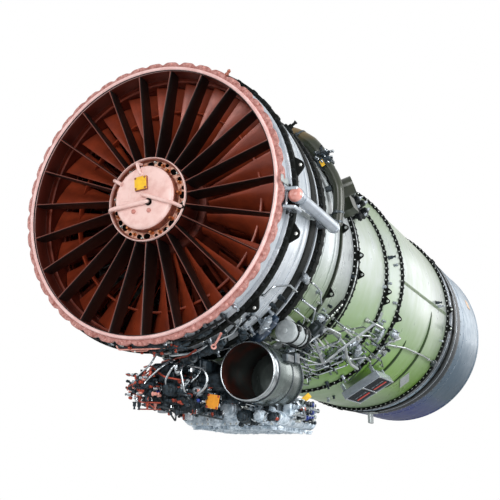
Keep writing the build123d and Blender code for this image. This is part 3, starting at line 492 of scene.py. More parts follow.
# Hot section metals: scaled sheet and nickel alloy, dull brown, and forged steel, plain grey
LINER = finish("heat_scaled_sheet", "#4A443E", "#2B2623", 0.5, metallic=0.7, grain_mm=40, bump=0.1)
CORE = finish("forged_core_steel", "#8A8D90", "#6A6C70", 0.38, metallic=0.85, grain_mm=35)
HOT = finish("scaled_nickel_alloy", "#6B5A4C", "#46392F", 0.5, metallic=0.75, grain_mm=25, bump=0.1)
# Ground gear steel: nearly a mirror
GEAR = finish("ground_gear_steel", "#B9BDC0", "#9A9EA2", 0.22, metallic=0.95, grain_mm=15, bump=0.03)
# Drawn stainless pipe: bright, with sharp long reflections; the dull one is dark grey, with broad ones
PIPE = finish("bright_stainless_pipe", "#BFC5C9", "#878F95", 0.14, metallic=1.0, grain_mm=30, bump=0.02)
PIPE_DARK = finish("dull_steel_pipe", "#4C5459", "#2E3438", 0.32, metallic=0.6)
# Olive enamel, sprayed: semi-gloss dark green, gold-brown on its top
OLIVE = finish("olive_enamel", "#222916", "#181E11", 0.34, grain_mm=45, bump=0.06, coat=0.15,
               zone=(past("Z", 320.0, 420.0), "#8A6B35"))
# Sand-cast magnesium in blue-grey lacquer: grainy and semi-matt, mottled light and dark
GEARBOX = finish("cast_magnesium_lacquer", "#DCE8F2", "#8A9CAA", 0.42, metallic=0.15, grain_mm=24,
                 share=(0.4, 0.62), bump=0.35, bump_mm=2.5)
# Sand-cast aluminium with a black anodised skin: grainy, dark, slightly blue; on three gearbox drums it
# stands for the dark gaps between castings as painted shade
CONTROL = finish("cast_aluminium_dark", "#2F3C45", "#11171A", 0.42, metallic=0.1, grain_mm=16,
                 share=(0.4, 0.6), bump=0.3, bump_mm=2.5, ior=1.35)
# Turned aluminium fittings, anodised red and blue, and ones in pink primer: small spots of colour
RED_FIT = finish("anodised_fitting_red", "#B9513C", "#7E2B1E", 0.3, metallic=0.4, grain_mm=8, bump=0.04)
PINK_FIT = finish("primer_fitting_pink", "#E3A79B", "#C77C6E", 0.4, grain_mm=10)
BLUE_FIT = finish("anodised_fitting_blue", "#233F9C", "#18286A", 0.3, metallic=0.4, grain_mm=8, bump=0.04)
# Enamelled plates, baked: clear yellow, amber and pale peach
YELLOW = finish("yellow_enamel_plate", "#F2C21F", "#E0A818", 0.4, grain_mm=15)
AMBER = finish("amber_enamel_plate", "#E89A1E", "#D08214", 0.4, grain_mm=15)
PEACH = finish("pale_peach_enamel", "#EAC39A", "#DDAE80", 0.4, grain_mm=20)
# Rolled steel duct with a green-grey heat film, drawn lengthwise: broad soft reflections, and a bore near
# black and red-brown as painted shade
OPEN_METAL = finish("green_grey_duct_metal", "#77827F", "#3A4544", 0.22, metallic=0.55, grain_mm=60,
                    streak=(1.0, 1.0, 0.4))
BORE_SHADE = finish("duct_bore_painted_shade", "#1C1512", "#5A2418", 0.38, grain_mm=70, bump=0.06, share=(0.45, 0.7))
# Grey painted sheet, rolled: plain and even; the matt enamel of the bottle is paler and flatter
BOX_GREY = finish("grey_painted_sheet", "#A9B0B0", "#8E9696", 0.36, metallic=0.3, bump=0.06)
MATT_GREY = finish("matt_grey_enamel", "#AEB5B7", "#949C9F", 0.6)
# Moulded black panel with a fine grain, and a smooth red enamel bar
PANEL = finish("black_moulded_panel", "#10171C", "#1C262D", 0.42, grain_mm=10, bump=0.12)
PANEL_RED = finish("red_enamel_bar", "#CC3A2C", "#B02C22", 0.35, grain_mm=6, bump=0.03)
# Moulded rubber: black and dull; the same black on the discs of drilled holes is painted shade
RUBBER_AND_SHADE = finish("black_rubber_and_painted_shade", "#0F1112", "#1C1F21", 0.6, grain_mm=10, bump=0.15, ior=1.3)
# Turned aluminium strut, satin anodised: long soft highlights
STRUT = finish("satin_anodised_strut", "#B4BCC5", "#949EA9", 0.2, metallic=0.55, grain_mm=50, bump=0.02)


# Inlet: lip, scalloped flange and barrel

def scallop(phi):
    """Radius to add round the flange: a fixed 5 mm less a valley between each two lobes. A valley is the
    fourth power of a raised cosine, and its depth goes from 4.7 to 9.5 mm with two slow sines."""
    lobe_share = 0.6 + 0.4 * np.sin(7.0 * phi) * np.sin(3.0 * phi + 1.0)
    return 5.0 - (3.5 + 6.0 * lobe_share) * np.clip(0.5 - 0.5 * np.cos(SCALLOPS * phi), 0, 1) ** 4


make("inlet_lip", turned([(66, 450), (-5, 450), (LIP_FRONT, 454), (LIP_FRONT, 460), (-6, 462), (3, 462),
                          (3, 464), (66, 464)], 3.0, 300), LIP_PAINT,
     replaces=("inlet_ring",))
make("inlet_flange", band(0, 12, 460, 476, 1.6, 20 * SCALLOPS, scallop), FLANGE_PAINT)
make("inlet_barrel", band(11, 66, 461, 466, 0.8), CASING)
make("inlet_seal", band(-6, -2, 448.6, 451, 0.8), RUBBER_AND_SHADE)
make("inlet_flange_bolts", [bolt_circle(SCALLOPS, 474, 0.0, -1, (3.6, 4.0)),
                            bolt_circle(SCALLOPS, 474, 12.0, 1, (4.6, 5.5))], PAINTED_BITS)


def vane_rings(levels=14, chord_hub=86.0, chord_tip=60.0, half=3.5, front=2.0):
    """One inlet vane: a symmetrical aerofoil, whose half thickness is the usual sum of the root and the first
    four powers of the share of its chord, and which flares at its ends by an exponential."""
    r = np.linspace(HUB_R - 1, INLET_R + 1, levels)
    share = (r - r[0]) / (r[-1] - r[0])
    chord = chord_hub + (chord_tip - chord_hub) * share
    s = 0.5 - 0.5 * np.cos(np.linspace(0, np.pi, 14))
    thick = 1.4845 * np.sqrt(s) - 0.63 * s - 1.758 * s ** 2 + 1.4215 * s ** 3 - 0.5075 * s ** 4
    thick = thick / thick.max() * half
    flare = 1 + 0.9 * np.exp(-(r - r[0]) / 5.0) + 0.9 * np.exp((r - r[-1]) / 5.0)
    along = np.concatenate([s, s[-2:0:-1]])
    across = np.concatenate([thick, -thick[-2:0:-1]])
    return np.stack([flare[:, None] * across, front + chord[:, None] * along,
                     np.repeat(r[:, None], len(along), 1)], -1)


make("inlet_vanes", copies(loft(vane_rings()), np.zeros((VANES, 3)),
                           *sides_of(180.0 + 360.0 / VANES * np.arange(VANES))), VANE_SHADE_PAINT,
     replaces=("guide_vanes",))

# Hub: bearing housing, its ring of studs and the dished cover
make("hub_housing", turned([(20, 138), (-4, 138.5), (-8, 140), (-8, 141.5), (-5, 143), (92, 143), (92, 76),
                            (58, 76), (58, 138)], 1.2, 180), HUB_PAINT,
     replaces=("hub_ring",))
make("hub_inner_ring", turned([(2, 134), (-1, 135.5), (-1, 137.5), (22, 138.2), (22, 134)], 1.0, 160),
     COPPER_AND_SHADE)
make("hub_groove", band(1, 7, 142.4, 143.8, 0.5, 160), FLANGE)
make("hub_cover", spun([(0, 0), (0.4, 50), (1.6, 90), (4, 103), (9, 107.5), (13, 108), (13, 0)], (0, -30, 0),
                       AFT, 120, 4), HUB_PAINT, replaces=("nose_cover",))
# The cover's side wall is brown-red as painted shade
make("hub_cover_wall", turned([(-17.5, 104), (-17.5, 109), (-12, 109.5), (-10, 107), (4, 107), (7, 110),
                               (16, 110), (16, 104)], 1.5, 160), COPPER_AND_SHADE)
make("hub_trough", band(12, 18, 106, 138.5, 1.0, 160), TROUGH)


def hub_studs(count=24, foot=11.8):
    """Bolt holes of three sizes, drawn as black discs of painted shade, and the studs and nuts between them,
    round the cover's rim.
    """
    rng = np.random.RandomState(3)
    step = 360.0 / count
    phi = np.arange(count) * step + rng.uniform(-2.5, 2.5, count)
    x, y, z = sides_of(phi)
    hole = stack([(9.4, 1.6)], 14, 0.3)
    holes = [copies(hole, on_case(phi[k::3], 122.5 + 2.5 * k, foot), x[k::3] * (1.3 - 0.3 * k),
                    z[k::3] * (1 - 0.2 * k), -y[k::3]) for k in range(3)]
    small = np.arange(count) * step + step / 2 + rng.uniform(-2, 2, count)
    x, y, z = sides_of(small)
    return holes, [copies(bolt(3.6 + k, 7.0 + 6 * k), on_case(small[k::3], 130.0 - 8 * k, foot), x[k::3],
                          z[k::3], -y[k::3]) for k in range(3)]


holes, studs = hub_studs()
make("hub_rim_holes", holes, DEPTH_SHADE)
make("hub_rim_studs", studs[0], BOLT)
make("hub_rim_nuts", studs[1:], COPPER_BOLT)
make("hub_pad", blocks(((38, 38, 1.6), 0.6, (-62, -29.6, 9), *TO_FRONT),
                       ((16, 22, 1.6), 0.6, (-62, -30.4, 9), *TO_FRONT)), HUB_PAINT)
TILT = ((0.985, 0, 0.1), (-0.1, 0, 0.985), (0, -1, 0))
# The plate's block is brown-red as painted shade of its sides
make("hub_plate_block", blocks(((46, 47, 10.5), 1.2, (-6, -33.5, 44), *TILT)), COPPER_AND_SHADE)
make("hub_plate", blocks(((43.5, 44.5, 3.6), 0.8, (-6, -39.6, 44), *TILT)), YELLOW,
     replaces=("nose_plate",))
make("hub_plate_rivets", copies(bolt(3.0, 2.0), corners_of((-6, -41.2, 44), (17.5, 18), *TILT[:2]),
                                *TO_FRONT), COPPER_AND_SHADE)
make("hub_bosses", [spun([(0, 0), (0.6, 5), (3.5, 7.4), (9, 7.4), (9, 0)], (x, -37, z), AFT, 20)
                    for x, z in ((-31.9, -48), (25.3, -49))], PINK_CAP)


def hub_pipes():
    """Oil and vent pipes that lie across the cover, with a collar at each end."""
    parts = [tube(route(run, bend), radius, sides) for run, bend, radius, sides in (
        ([(-4, -28, 7.2), (-4, -37.8, 7.2), (120, -37.8, -37), (131, -8, -41)], 10, 6.0, 16),
        ([(21, -28, -20), (21, -37, -20), (-116, -37, -35), (-136, -6, -33)], 10, 6.8, 16),
        ([(-26, -6, 120), (-25, -37, 114), (-12, -38, 80), (-12, -28, 77)], 6, 5.4, 16),
        ([(-82, -34, 50), (-104, -28, 63), (-124, -10, 75)], 6, 6.4, 14))]
    parts += [rod(0, 5, r, (x, -34, z), AFT, 20) for x, z, r in ((-4, 7.2, 10), (-12, 77, 8))]
    return parts + [rod(-5, 5, r, spot, run, 20) for spot, r, run in (
        ((104, -36.6, -32), 7.2, (124, 0, -44)), ((22, -36.6, -2), 7.2, (124, 0, -44)),
        ((-100, -36, -33), 7.8, (137, 0, 15)), ((2, -36, -22), 7.8, (137, 0, 15)))]


make("hub_pipes", hub_pipes(), HUB_PAINT, replaces=("nose_pipes",))
# The pipe sockets' black is painted shade of their openings
make("hub_pipe_sockets", [sleeve(0, 9, 7.2, 11.5, (23, -38, -21), AFT, 24, 1.5),
                          spun([(0, 0), (0, 8), (4, 10), (12, 10), (12, 0)], (128, -12, -40), AFT, 20, 1.5)],
     DEPTH_SHADE)


# Fan: bent, twisted blades and their part-span shroud

def fan_blade(root, chords, staggers, thick, camber, levels=12):
    """Fan blade: a lens section, half a sine thick about a bow of one minus four times the squared share of
    its chord, turned by a stagger that changes with radius, from root to tip."""
    r = np.linspace(root - 3, FAN_TIP, levels)
    share = (r - r[0]) / (r[-1] - r[0])
    chord = np.interp(share, np.linspace(0, 1, len(chords)), chords)
    lean = np.radians(np.interp(share, np.linspace(0, 1, len(staggers)), staggers))
    t = np.linspace(0, np.pi, 9)
    s = np.concatenate([np.cos(t), np.cos(t)[-2:0:-1]]) * 0.5
    side = np.concatenate([np.sin(t), -np.sin(t)[-2:0:-1]])
    half = np.interp(share, (0, 1), thick) / 2
    bow = np.interp(share, (0, 1), camber)
    u = chord[:, None] * s
    v = half[:, None] * side + bow[:, None] * (1 - 4 * s ** 2)
    x = u * np.sin(lean)[:, None] + v * np.cos(lean)[:, None]
    y = u * np.cos(lean)[:, None] - v * np.sin(lean)[:, None]
    return np.stack([x, y, np.repeat(r[:, None], len(s), 1)], -1)


def blade_ring(name, station, count, shape, replaces=(), extra=()):
    """All blades of one stage."""
    x, y, z = sides_of(np.arange(count) * 360.0 / count)
    ring = copies(loft(fan_blade(*shape)), on_case(np.arange(count) * 360.0 / count, 0.0, station), x, y, z)
    make(name, [ring, *extra], BLADE_RED_LIT, "fan_spool", replaces=replaces)


shroud = turned([(-12, 349), (-9, 356), (9, 356), (12, 349)])
blade_ring("fan_stage_one", FAN_STATIONS[0], 24,
           (168, (50, 72, 94, 114), (18, 34, 50, 62), (11, 4.5), (7, 3)),
           ("fan_blades_front",), (put(shroud, (0, FAN_STATIONS[0], 0)),))
blade_ring("fan_stage_two", FAN_STATIONS[1], 30, (202, (46, 56, 66), (16, 38, 54), (8, 4), (6, 3)),
           ("fan_blades_rear",))
blade_ring("fan_stage_three", FAN_STATIONS[2], 34, (230, (42, 50, 58), (16, 34, 50), (7, 3.5), (5, 3)))

# Fan casings: three stepped drums, a black recess and the wide joint flange
make("fan_drum_front",
     turned([(66, 450), (66, 480), (94, 480), (94, 477), (296, 477), (300, 474), (300, 450)], 1.5, 300),
     CASING, replaces=("fan_case",))
make("fan_drum_band", band(206, 222, 476, 479.5, 1.0), CASING)
make("fan_drum_dark", [turned([(88, 476), (90, 482), (97, 482), (99, 478), (99, 476)], 1.0),
                       turned([(246, 476), (246, 480), (262, 480), (264, 478), (299.5, 478), (299.5, 474)],
                              1.0)], FLANGE)
make("fan_recess_line", band(325, 333, 462, 473, 1.0), CASING)
make("fan_recess", turned([(300, 450), (300, 464), (343, 464), (352, 481), (384, 481), (384, 450)], 1.5, 300),
     FLANGE, replaces=("fan_case_rear",))
make("bore_steps", [band(y - 3, y + 3, 443 + k, 451, 1.0, 200)
                    for k, y in enumerate((84, 176, 206, 290, 312))], BORE_RED_SHADED)


def joint(name, front, rear, inner, outer, count, nut=(5.2, 8.0), teeth=0, material=FLANGE, stud=BOLT):
    """Joint flange: a black ring, cut back by 3 mm between its teeth where it has them, dark nuts on both
    faces and the ends of the studs in front."""
    def wave(phi):
        return -3.0 * (np.cos(teeth * phi) < 0)
    ring = band(front, rear, inner, outer + 0.6, 1.4, 6 * teeth or 300, wave if teeth else None)
    make(name, ring, material)
    if count:
        pitch = (inner + outer) / 2 + 2.5
        make(name + "_nuts", [bolt_circle(count, pitch, front, -1, nut),
                              bolt_circle(count, pitch, rear, 1, nut)], DARK_BOLT)
        make(name + "_studs", bolt_circle(count, pitch, front - nut[1], -1, (2.2, 2.4)), stud)


for row in (("joint_one", 70, 92, 477, 493, 96, (4.6, 4.0), 0, FLANGE, DARK_BOLT),
            ("joint_three", 350, 385, 464, 482, 92, (4.8, 6.0), 92, FLANGE, DARK_BOLT),
            ("joint_four", 589, 603, 455, 468, 0, (), 0, OLIVE_BAND),
            ("joint_five", 901, 914, 408, 425, 96, (5.0, 7.0)),
            ("joint_five_rear", 930, 943, 412, 425, 96, (5.0, 7.0)),
            ("joint_six", 1243, 1254, 440, 453, 110),
            ("joint_seven", 1337, 1348, 484, 498, 116),
            ("joint_eight", 2224, 2235, 490, 504, 116, (5.4, 9.0))):
    joint(*row)

make("middle_case", turned([(385, 442), (385, 460), (589, 460), (603, 450), (901, 412), (901, 402),
                            (603, 442)], 1.5, 300), MID_CASE_LIT,
     replaces=("intermediate_case",))
make("middle_bands", [band(y - w, y + w, r - 2, r + h, 1.0)
                      for y, r, w, h in ((398, 460, 6, 5), (446, 460, 3, 2.5), (548, 460, 4, 3))], MID_CASE_LIT)
make("duct_one", turned([(921, 402), (921, 414), (943, 416), (1242, 442), (1254, 446), (1254, 438)], 1.5,
                        300), GREEN_DUCT_LIT, replaces=("duct_front",))
make("duct_two", turned([(1254, 438), (1254, 450), (1288, 450), (1336, 486), (1348, 488), (1348, 480),
                         (1284, 444)], 2.0, 300), GREEN_DUCT_LIT, replaces=("duct_ring",))
make("duct_three", band(1348, 2235, 486, 491, 1.0, 300), GREEN_DUCT_LIT,
     replaces=("duct_rear",))
make("duct_seam", pads(((15, 828, 3), 1.2, 92.5, 491.5, 1787, 0.35),
                       ((5, 828, 6), 1.5, 92.5, 491.5, 1787, 0.35)), SEAM_GREEN)


def rib(station, start, end, radius, width, height):
    """Tapered stiffening rib round part of a duct: its height goes as the root of half a sine along it."""
    phi = np.linspace(start, end, 60)
    fade = np.sin(np.pi * np.clip((phi - start) / (end - start), 0, 1)) ** 0.5
    h = height * fade
    w = width * (0.3 + 0.7 * fade)
    corners = [(-w, radius - 1 + 0 * h), (-w * 0.6, radius + h), (w * 0.6, radius + h),
               (w, radius - 1 + 0 * h)]
    return loft(np.stack([on_case(phi, r, station + y) for y, r in corners], 1))


make("duct_ribs", [rib(1900, 97, 150, 491, 11, 8), rib(1625, 119, 150, 491, 11, 8)], RIB_GREEN)
make("joint_five_gap", band(915, 929, 408, 424.2), MID_CASE_LIT)
make("rear_ring", turned([(2235, 486), (2235, 497), (2270, 497), (2276, 494), (2300, 494), (2302, 499.5),
                          (2344, 499.5), (2346, 496), (2400, 496), (2404, 499), (2450, 499), (2450, 486)],
                         1.0, 300), RING_STEEL, replaces=("clamp_ring",))
make("rear_ring_bright", [band(2267, 2271, 496, 501.5), band(2297, 2301, 493, 502),
                          band(2438, 2449, 498, 501)], ALLOY)
make("rear_ring_dark", [band(2241, 2265, 496, 500.5), band(2345, 2350, 495, 503),
                        band(2354, 2376, 495, 504.5), band(2379, 2398, 495, 498)], FLANGE)
make("rear_ring_plate", band(2303, 2343, 499, 500.5), RING_PLATE)
make("tail_front_band", [band(2450, 2474, 498, 502), band(2474, 2530, 498, 500.4)], RING_STEEL)
make("rear_ring_clips", [on_surface(block((26, 14, 12), 2), p, 503, 2365) for p in np.arange(4, 360, 24.0)],
     DARK_BOLT)
make("tail_ring", turned([(2450, 490), (2450, 499), (3071, 499), (3082.6, 499), (3082.6, 471), (3074, 471),
                          (3071, 490)], 1.5, 300), TAIL, replaces=("tail_case",))
make("tail_bands", [band(y - w, y + w, 498, 498 + h, 0.8) for y, w, h in ((2640, 5, 2.5), (3060, 12, 3.0))],
     TAIL)


def hole_row(count, radius, station, size):
    """Row of drilled holes, each a thin dark disc in a slight rim, its dark a painted shade of the hole's
    depth.
    """
    phi = np.linspace(0, 360, count, endpoint=False)
    return copies(stack([(size, 0.8)], 14, 0.2), on_case(phi, radius, station), *sides_of(phi))


make("rear_ring_holes", hole_row(60, 500.2, 2323, 5.5), RUBBER_AND_SHADE)
make("tail_holes", hole_row(44, 498.6, 2556, 4.5), RUBBER_AND_SHADE)
make("tail_seam_rivets", [copies(bolt(2.6, 2.0), on_case(p, 499, y), *sides_of(p)) for y, p in (
    (2540, np.arange(0, 360, 3.0)), (2632, np.arange(1.5, 360, 4.5)), (3046, np.arange(0, 360, 4.5)))], ALLOY)
# Bolt holes in the tail's rear face, dark discs of painted shade
p = 22.5 + np.arange(8) * 45.0
x, y, z = sides_of(p)
make("tail_bolt_holes", copies(stack([(5.5, 0.4)], 20, 0.1), on_case(p, 484, 3082.5), x, -z, y), RUBBER_AND_SHADE)

# Small parts that stand on the casings and the gearbox
UNION = join(stack([(7, 6)], 6, 0.8), put(stack([(5, 7), (6, 4)], 12), (0, 0, 5)))
CAP = join(stack([(8.5, 5)], 6, 0.8), put(stack([(6.5, 9), (4, 2)], 12), (0, 0, 5)))
PLUG = stack([(6, 4), (4.2, 5), (6.5, 7), (5, 2)], 12)
SENSOR = join(stack([(10, 4), (7.5, 16)], 12), put(stack([(4, 9), (5.5, 4)], 10), (0, 0, 20)))
STUB = stack([(9, 3), (6, 11), (8, 5), (6, 2)], 14)
PARTS = (UNION, CAP, PLUG, SENSOR, STUB)
PADS = (block((30, 20, 22), 2), block((16, 30, 30), 3), stack([(14, 10), (10, 8)], 16, 1),
        block((38, 10, 20), 2), join(stack([(16, 7), (12, 9)], 18, 1), put(stack([(5, 8)], 8), (0, 0, 16))),
        block((22, 24, 40), 4))


# Faces of a box for its fittings, as (axis, direction)
SIDE, NOSE, LOW, HIGH = (0, 1), (1, -1), (2, -1), (2, 1)


def scattered(seed, count, middle, size, faces, rim=0.44):
    """Fixed spread of spots over some faces of a box, and the directions that those faces look in."""
    rng = np.random.RandomState(seed)
    pick = np.array(faces)[rng.randint(len(faces), size=count)]
    spots = rng.uniform(-rim, rim, (count, 3)) * np.asarray(size, float)
    normals = np.zeros((count, 3))
    rows = np.arange(count)
    normals[rows, pick[:, 0]] = pick[:, 1]
    spots[rows, pick[:, 0]] = pick[:, 1] * 0.5 * np.asarray(size, float)[pick[:, 0]]
    return spots + np.asarray(middle, float), normals


def of_kinds(parts, kinds, mine, spots, normals, size=1.0):
    """Stands each kind of part on its own spots among those that are asked for."""
    return [stand((part[0] * size, part[1]), spots[mine & (kinds == k)], normals[mine & (kinds == k)])
            for k, part in enumerate(parts) if (mine & (kinds == k)).any()]


def dress(name, seed, boxes, shares, per_box, size=1.0, parts=PARTS):
    """Covers boxes with small fittings in several finishes; shares gives each finish's part of them."""
    spots, normals = (np.vstack(rows) for rows in zip(*[scattered(seed + i, per_box, *box)
                                                        for i, box in enumerate(boxes)]))
    rng = np.random.RandomState(seed)
    kinds, lot = rng.randint(len(parts), size=len(spots)), rng.rand(len(spots))
    low = 0.0
    for label, material, share in shares:
        mine = (lot >= low) & (lot < low + share)
        low += share
        shapes = of_kinds(parts, kinds, mine, spots, normals, size)
        if shapes:
            make(name + "_" + label, shapes, material)
    return spots, normals


def loops(spots, normals, pairs, lift, radius, foot=10, bend=12):
    """Small bent pipes from fitting to fitting, each rising off its foot and crossing over."""
    runs = []
    for a, b in pairs:
        p, q = spots[a] + normals[a] * foot, spots[b] + normals[b] * foot
        up, over = normals[a] * lift, normals[b] * lift
        runs.append(tube(route([p, p + up, q + over, q], bend, 5), radius, 8))
    return runs


def pipe_work(name, runs, material, nuts=BOLT, thin=0.8, bend=3.0, long_run=130):
    """Pipes along the casings: each is (tube radius, radius of the run, (angle, station) corners). Its ends
    go down to the casing through a nut, and a post with a strap holds each long run."""
    pipes, small = [], []
    for radius, reach, corners in runs:
        radius = thin * radius
        phi, station = np.array(corners, float).T
        foot, last = (on_case(phi[k], skin(station[k]), station[k]) for k in (0, -1))
        pipes.append(tube(route(np.vstack([foot, on_case(phi, reach, station), last]), bend * radius, 5),
                          radius, 10))
        nut = stack([(radius * 1.9, 3), (radius * 1.5, radius * 2.2)], 6)
        small += [stand(nut, on_case(phi[k], skin(station[k]) + 4, station[k])[None], sides_of(phi[k])[2])
                  for k in (0, -1)]
        lengths = np.hypot(np.radians(np.diff(phi)) * reach, np.diff(station))
        for k in np.flatnonzero(lengths > long_run):
            mid_phi, mid_y = (phi[k] + phi[k + 1]) / 2, (station[k] + station[k + 1]) / 2
            tall = reach - skin(mid_y)
            turn = np.degrees(np.arctan2(-np.radians(phi[k + 1] - phi[k]) * reach,
                                         station[k + 1] - station[k]))
            small += pads(((3, 10, tall), 1, mid_phi + 0.8, skin(mid_y) + tall / 2, mid_y, turn),
                          ((radius * 2 + 4, 9, radius * 2 + 3), radius, mid_phi, reach, mid_y, turn))
    make(name, pipes, material)
    make(name + "_nuts", small, nuts)


# Pipes on the ducts: the two junctions, the long drain line and the runs between the flanges
make("oil_runs", pads(((50, 40, 46), 5, 134, 490, 640), ((30, 56, 30), 5, 134, 484, 640),
                      ((34, 30, 24), 4, 123, 503, 2196)) + [on_surface(bolt(8, 8), 134, 513, 640)],
     PIPE_DARK, replaces=("oil_pipes",))
pipe_work("oil_pipes_main", [
    (6.0, 515, [(141, 610), (131, 660), (131, 809), (134, 841), (143, 735)]),
    (8.0, 522, [(138, 640), (146, 880), (138, 893), (120, 1039), (120, 1166)]),
    (5.0, 503, [(126, 1362), (123, 1629), (122, 1964), (122.5, 2180)]),
    (5.0, 500, [(128, 860), (128, 1020), (126, 1135), (127, 1190), (125, 1225)]),
    (6.0, 512, [(140, 1107), (136, 1214), (137, 1330)]),
    (6.0, 508, [(120, 1480), (125, 1352), (130, 1324), (135, 1334)]),
], PIPE)
pipe_work("oil_hose", [(7.5, 516, [(134, 913), (139, 1030), (142, 1150), (143, 1270)])], BOX_GREY)
pipe_work("oil_pipes_low", [
    (5.0, 478, [(155, 919), (150, 1029), (141, 1107)]),
    (4.5, 480, [(156, 880), (156, 1057), (144, 1162)]),
    (4.5, 482, [(158, 930), (158, 1131), (145, 1240)]),
    (4.0, 470, [(148, 640), (149, 900), (147, 1150), (150, 1235)]),
    (4.0, 474, [(151, 640), (152, 900), (151, 1200), (154, 1300)]),
    (4.0, 476, [(154, 650), (155, 860), (162, 980), (162, 1230)]),
    (5.0, 488, [(159, 700), (166, 900), (170, 1130), (168, 1232)]),
    (3.5, 468, [(144, 660), (143, 860), (139, 980), (139, 1230)]),
], PIPE, nuts=PIPE_DARK)
pipe_work("pipes_dark", [
    (4.0, 462, [(146, 650), (145, 880), (134, 1010), (133, 1230)]),
    (3.5, 460, [(136, 700), (135, 860), (130, 960), (124, 1120), (124, 1225)]),
    (4.0, 510, [(128, 1270), (131, 1400), (139, 1395)]),
    (3.5, 505, [(141, 1262), (143, 1330), (152, 1370)]),
    (3.5, 512, [(133, 1262), (134, 1420), (137, 1520)]),
], PIPE_DARK)
pipe_work("middle_pipes", [
    (5.0, 490, [(126, 400), (127, 520), (133, 575)]), (4.0, 484, [(118, 405), (119, 480), (124, 560)]),
    (4.0, 486, [(131, 400), (132, 500), (140, 560)]), (5.0, 492, [(146, 400), (146, 560), (143, 640)]),
    (4.0, 482, [(150, 400), (151, 550), (151, 640)]), (4.5, 488, [(156, 410), (157, 520), (160, 640)]),
], PIPE)
pipe_work("drum_pipes", [
    (4.5, 500, [(124, 290), (123, 212), (126, 116), (129, 102), (131, 99)]),
    (5.0, 498, [(143, 108), (150, 150), (168, 157), (176, 130)]),
    (4.0, 494, [(150, 105), (155, 200), (166, 240), (186, 240)]),
    (4.5, 497, [(146, 110), (147, 200), (149, 288)]),
    (4.0, 493, [(139, 150), (140, 210), (142, 290)]),
    (3.5, 490, [(160, 105), (161, 200), (158, 290)]),
    (4.0, 492, [(172, 105), (174, 190), (181, 285)]),
], PIPE)
pipe_work("drum_harness", [
    (5.5, 486, [(146, 40), (160, 34), (186, 36), (206, 40)]),
    (4.0, 490, [(150, 52), (166, 52), (190, 50)]),
    (5.0, 494, [(146, 60), (146, 120), (158, 180), (180, 200)]),
    (4.0, 488, [(140, 150), (150, 175), (170, 176), (196, 180)]),
    (4.0, 486, [(136, 262), (150, 262), (178, 255)]),
], RUBBER_AND_SHADE, nuts=PIPE_DARK)

# Fittings on the casings: valves, sensors and plugs, each standing on the skin
spots = np.array([
    (118, 1290), (120, 1315), (122, 1290), (118, 1385), (121, 1420), (123, 1389), (116, 1300), (133, 1101),
    (136, 1278), (135, 1300), (141, 1140), (138, 1180), (144, 1276), (139, 1300), (131, 1290), (129, 1310),
    (125, 1290), (134, 1380), (131, 1420), (128, 1440), (148, 760), (152, 790), (158, 820), (140, 760),
    (126, 700), (123, 740), (128, 780), (155, 1010), (149, 1120), (160, 1060), (165, 1000), (162, 1327),
    (157, 1290), (153, 1330), (126, 430), (131, 450), (137, 440), (142, 470), (120, 520), (127, 545),
    (136, 540), (149, 470), (155, 530), (133, 220), (131, 106), (139, 110), (142, 160), (139, 150),
    (145, 170), (152, 130), (158, 120), (163, 170), (168, 200), (175, 150), (180, 210), (129, 240),
    (136, 250), (146, 240), (154, 270), (163, 260), (172, 240), (103, 899), (99, 1232), (105, 1318),
    (81, 1290), (85, 1310), (96, 1270), (90, 1980), (91, 2030), (109, 2169), (171, 1626), (176, 1670),
    (140, 36), (152, 30), (163, 38), (171, 28), (178, 40), (186, 30), (195, 38)], float)
kinds = np.random.RandomState(7).randint(len(PARTS), size=len(spots))
third = np.arange(len(spots)) % 3 == 1
for label, material, mine in (("bright", ALLOY, ~third), ("dark", CONTROL, third)):
    make("case_fittings_" + label, of_kinds(PARTS, kinds, mine, *on_skin(spots)), material)


def valves(*rows):
    """Round valve bodies lying on the casing, stepped at their ends, each with a square mid flange and a
    foot; a row is (angle, station, length, radius), with a turn if it has one."""
    shapes = []
    for phi, station, length, radius, *turn in rows:
        body = stack([(radius * 0.6, length * 0.15), (radius, length * 0.55), (radius * 0.75, length * 0.2),
                      (radius * 0.4, length * 0.1)], 18, 1.5)
        x, y, z = sides_of(phi)
        c, s = np.cos(np.radians(sum(turn))), np.sin(np.radians(sum(turn)))
        along, cross = y * c + x * s, x * c - y * s
        up = np.cross(along, cross)
        at = on_case(phi, skin(station) + radius + 12, station)
        foot = at - z * (radius * 0.6 + 6)
        shapes += [put(body, at - along * length / 2, cross, up, along),
                   *blocks(((radius * 2.1, radius * 2.1, 5), 1.5, at, cross, up, along),
                           ((radius * 1.3, 14, radius + 14), 2, foot, cross, along, z))]
    return shapes


make("duct_valves", valves(
    (120, 1340, 90, 13), (124, 1300, 70, 10, 90), (137, 1225, 110, 17, 30), (133, 1150, 80, 13, -40),
    (140, 1300, 70, 12, 70), (143, 1180, 60, 11, 10), (146, 1090, 80, 12, 80), (153, 740, 90, 16, 20),
    (147, 590, 90, 15, 70), (129, 600, 60, 12), (118, 320, 60, 12, 20), (141, 250, 80, 14, 60)), ALLOY)
make("dark_valves", valves(
    (160, 160, 100, 16, 80), (172, 190, 90, 18, 60), (149, 210, 70, 12, 30), (150, 850, 90, 15, 60),
    (130, 690, 80, 14, 20), (162, 560, 100, 17, 40), (166, 60, 60, 9, 90), (156, 50, 60, 9, 90),
    (176, 56, 60, 9, 90)), CONTROL)

# Bare plates on the ducts
make("duct_plates", pads(((44, 36, 6), 1, 115, 451, 1270), ((34, 96, 2), 0.6, 130, 492, 1430),
                         ((58, 130, 3), 1, 140, 492.5, 2010, -20)), BOX_GREY)
make("tail_plate", pads(((52, 70, 1.5), 0.5, 71, 499.6, 2910)), PEACH)


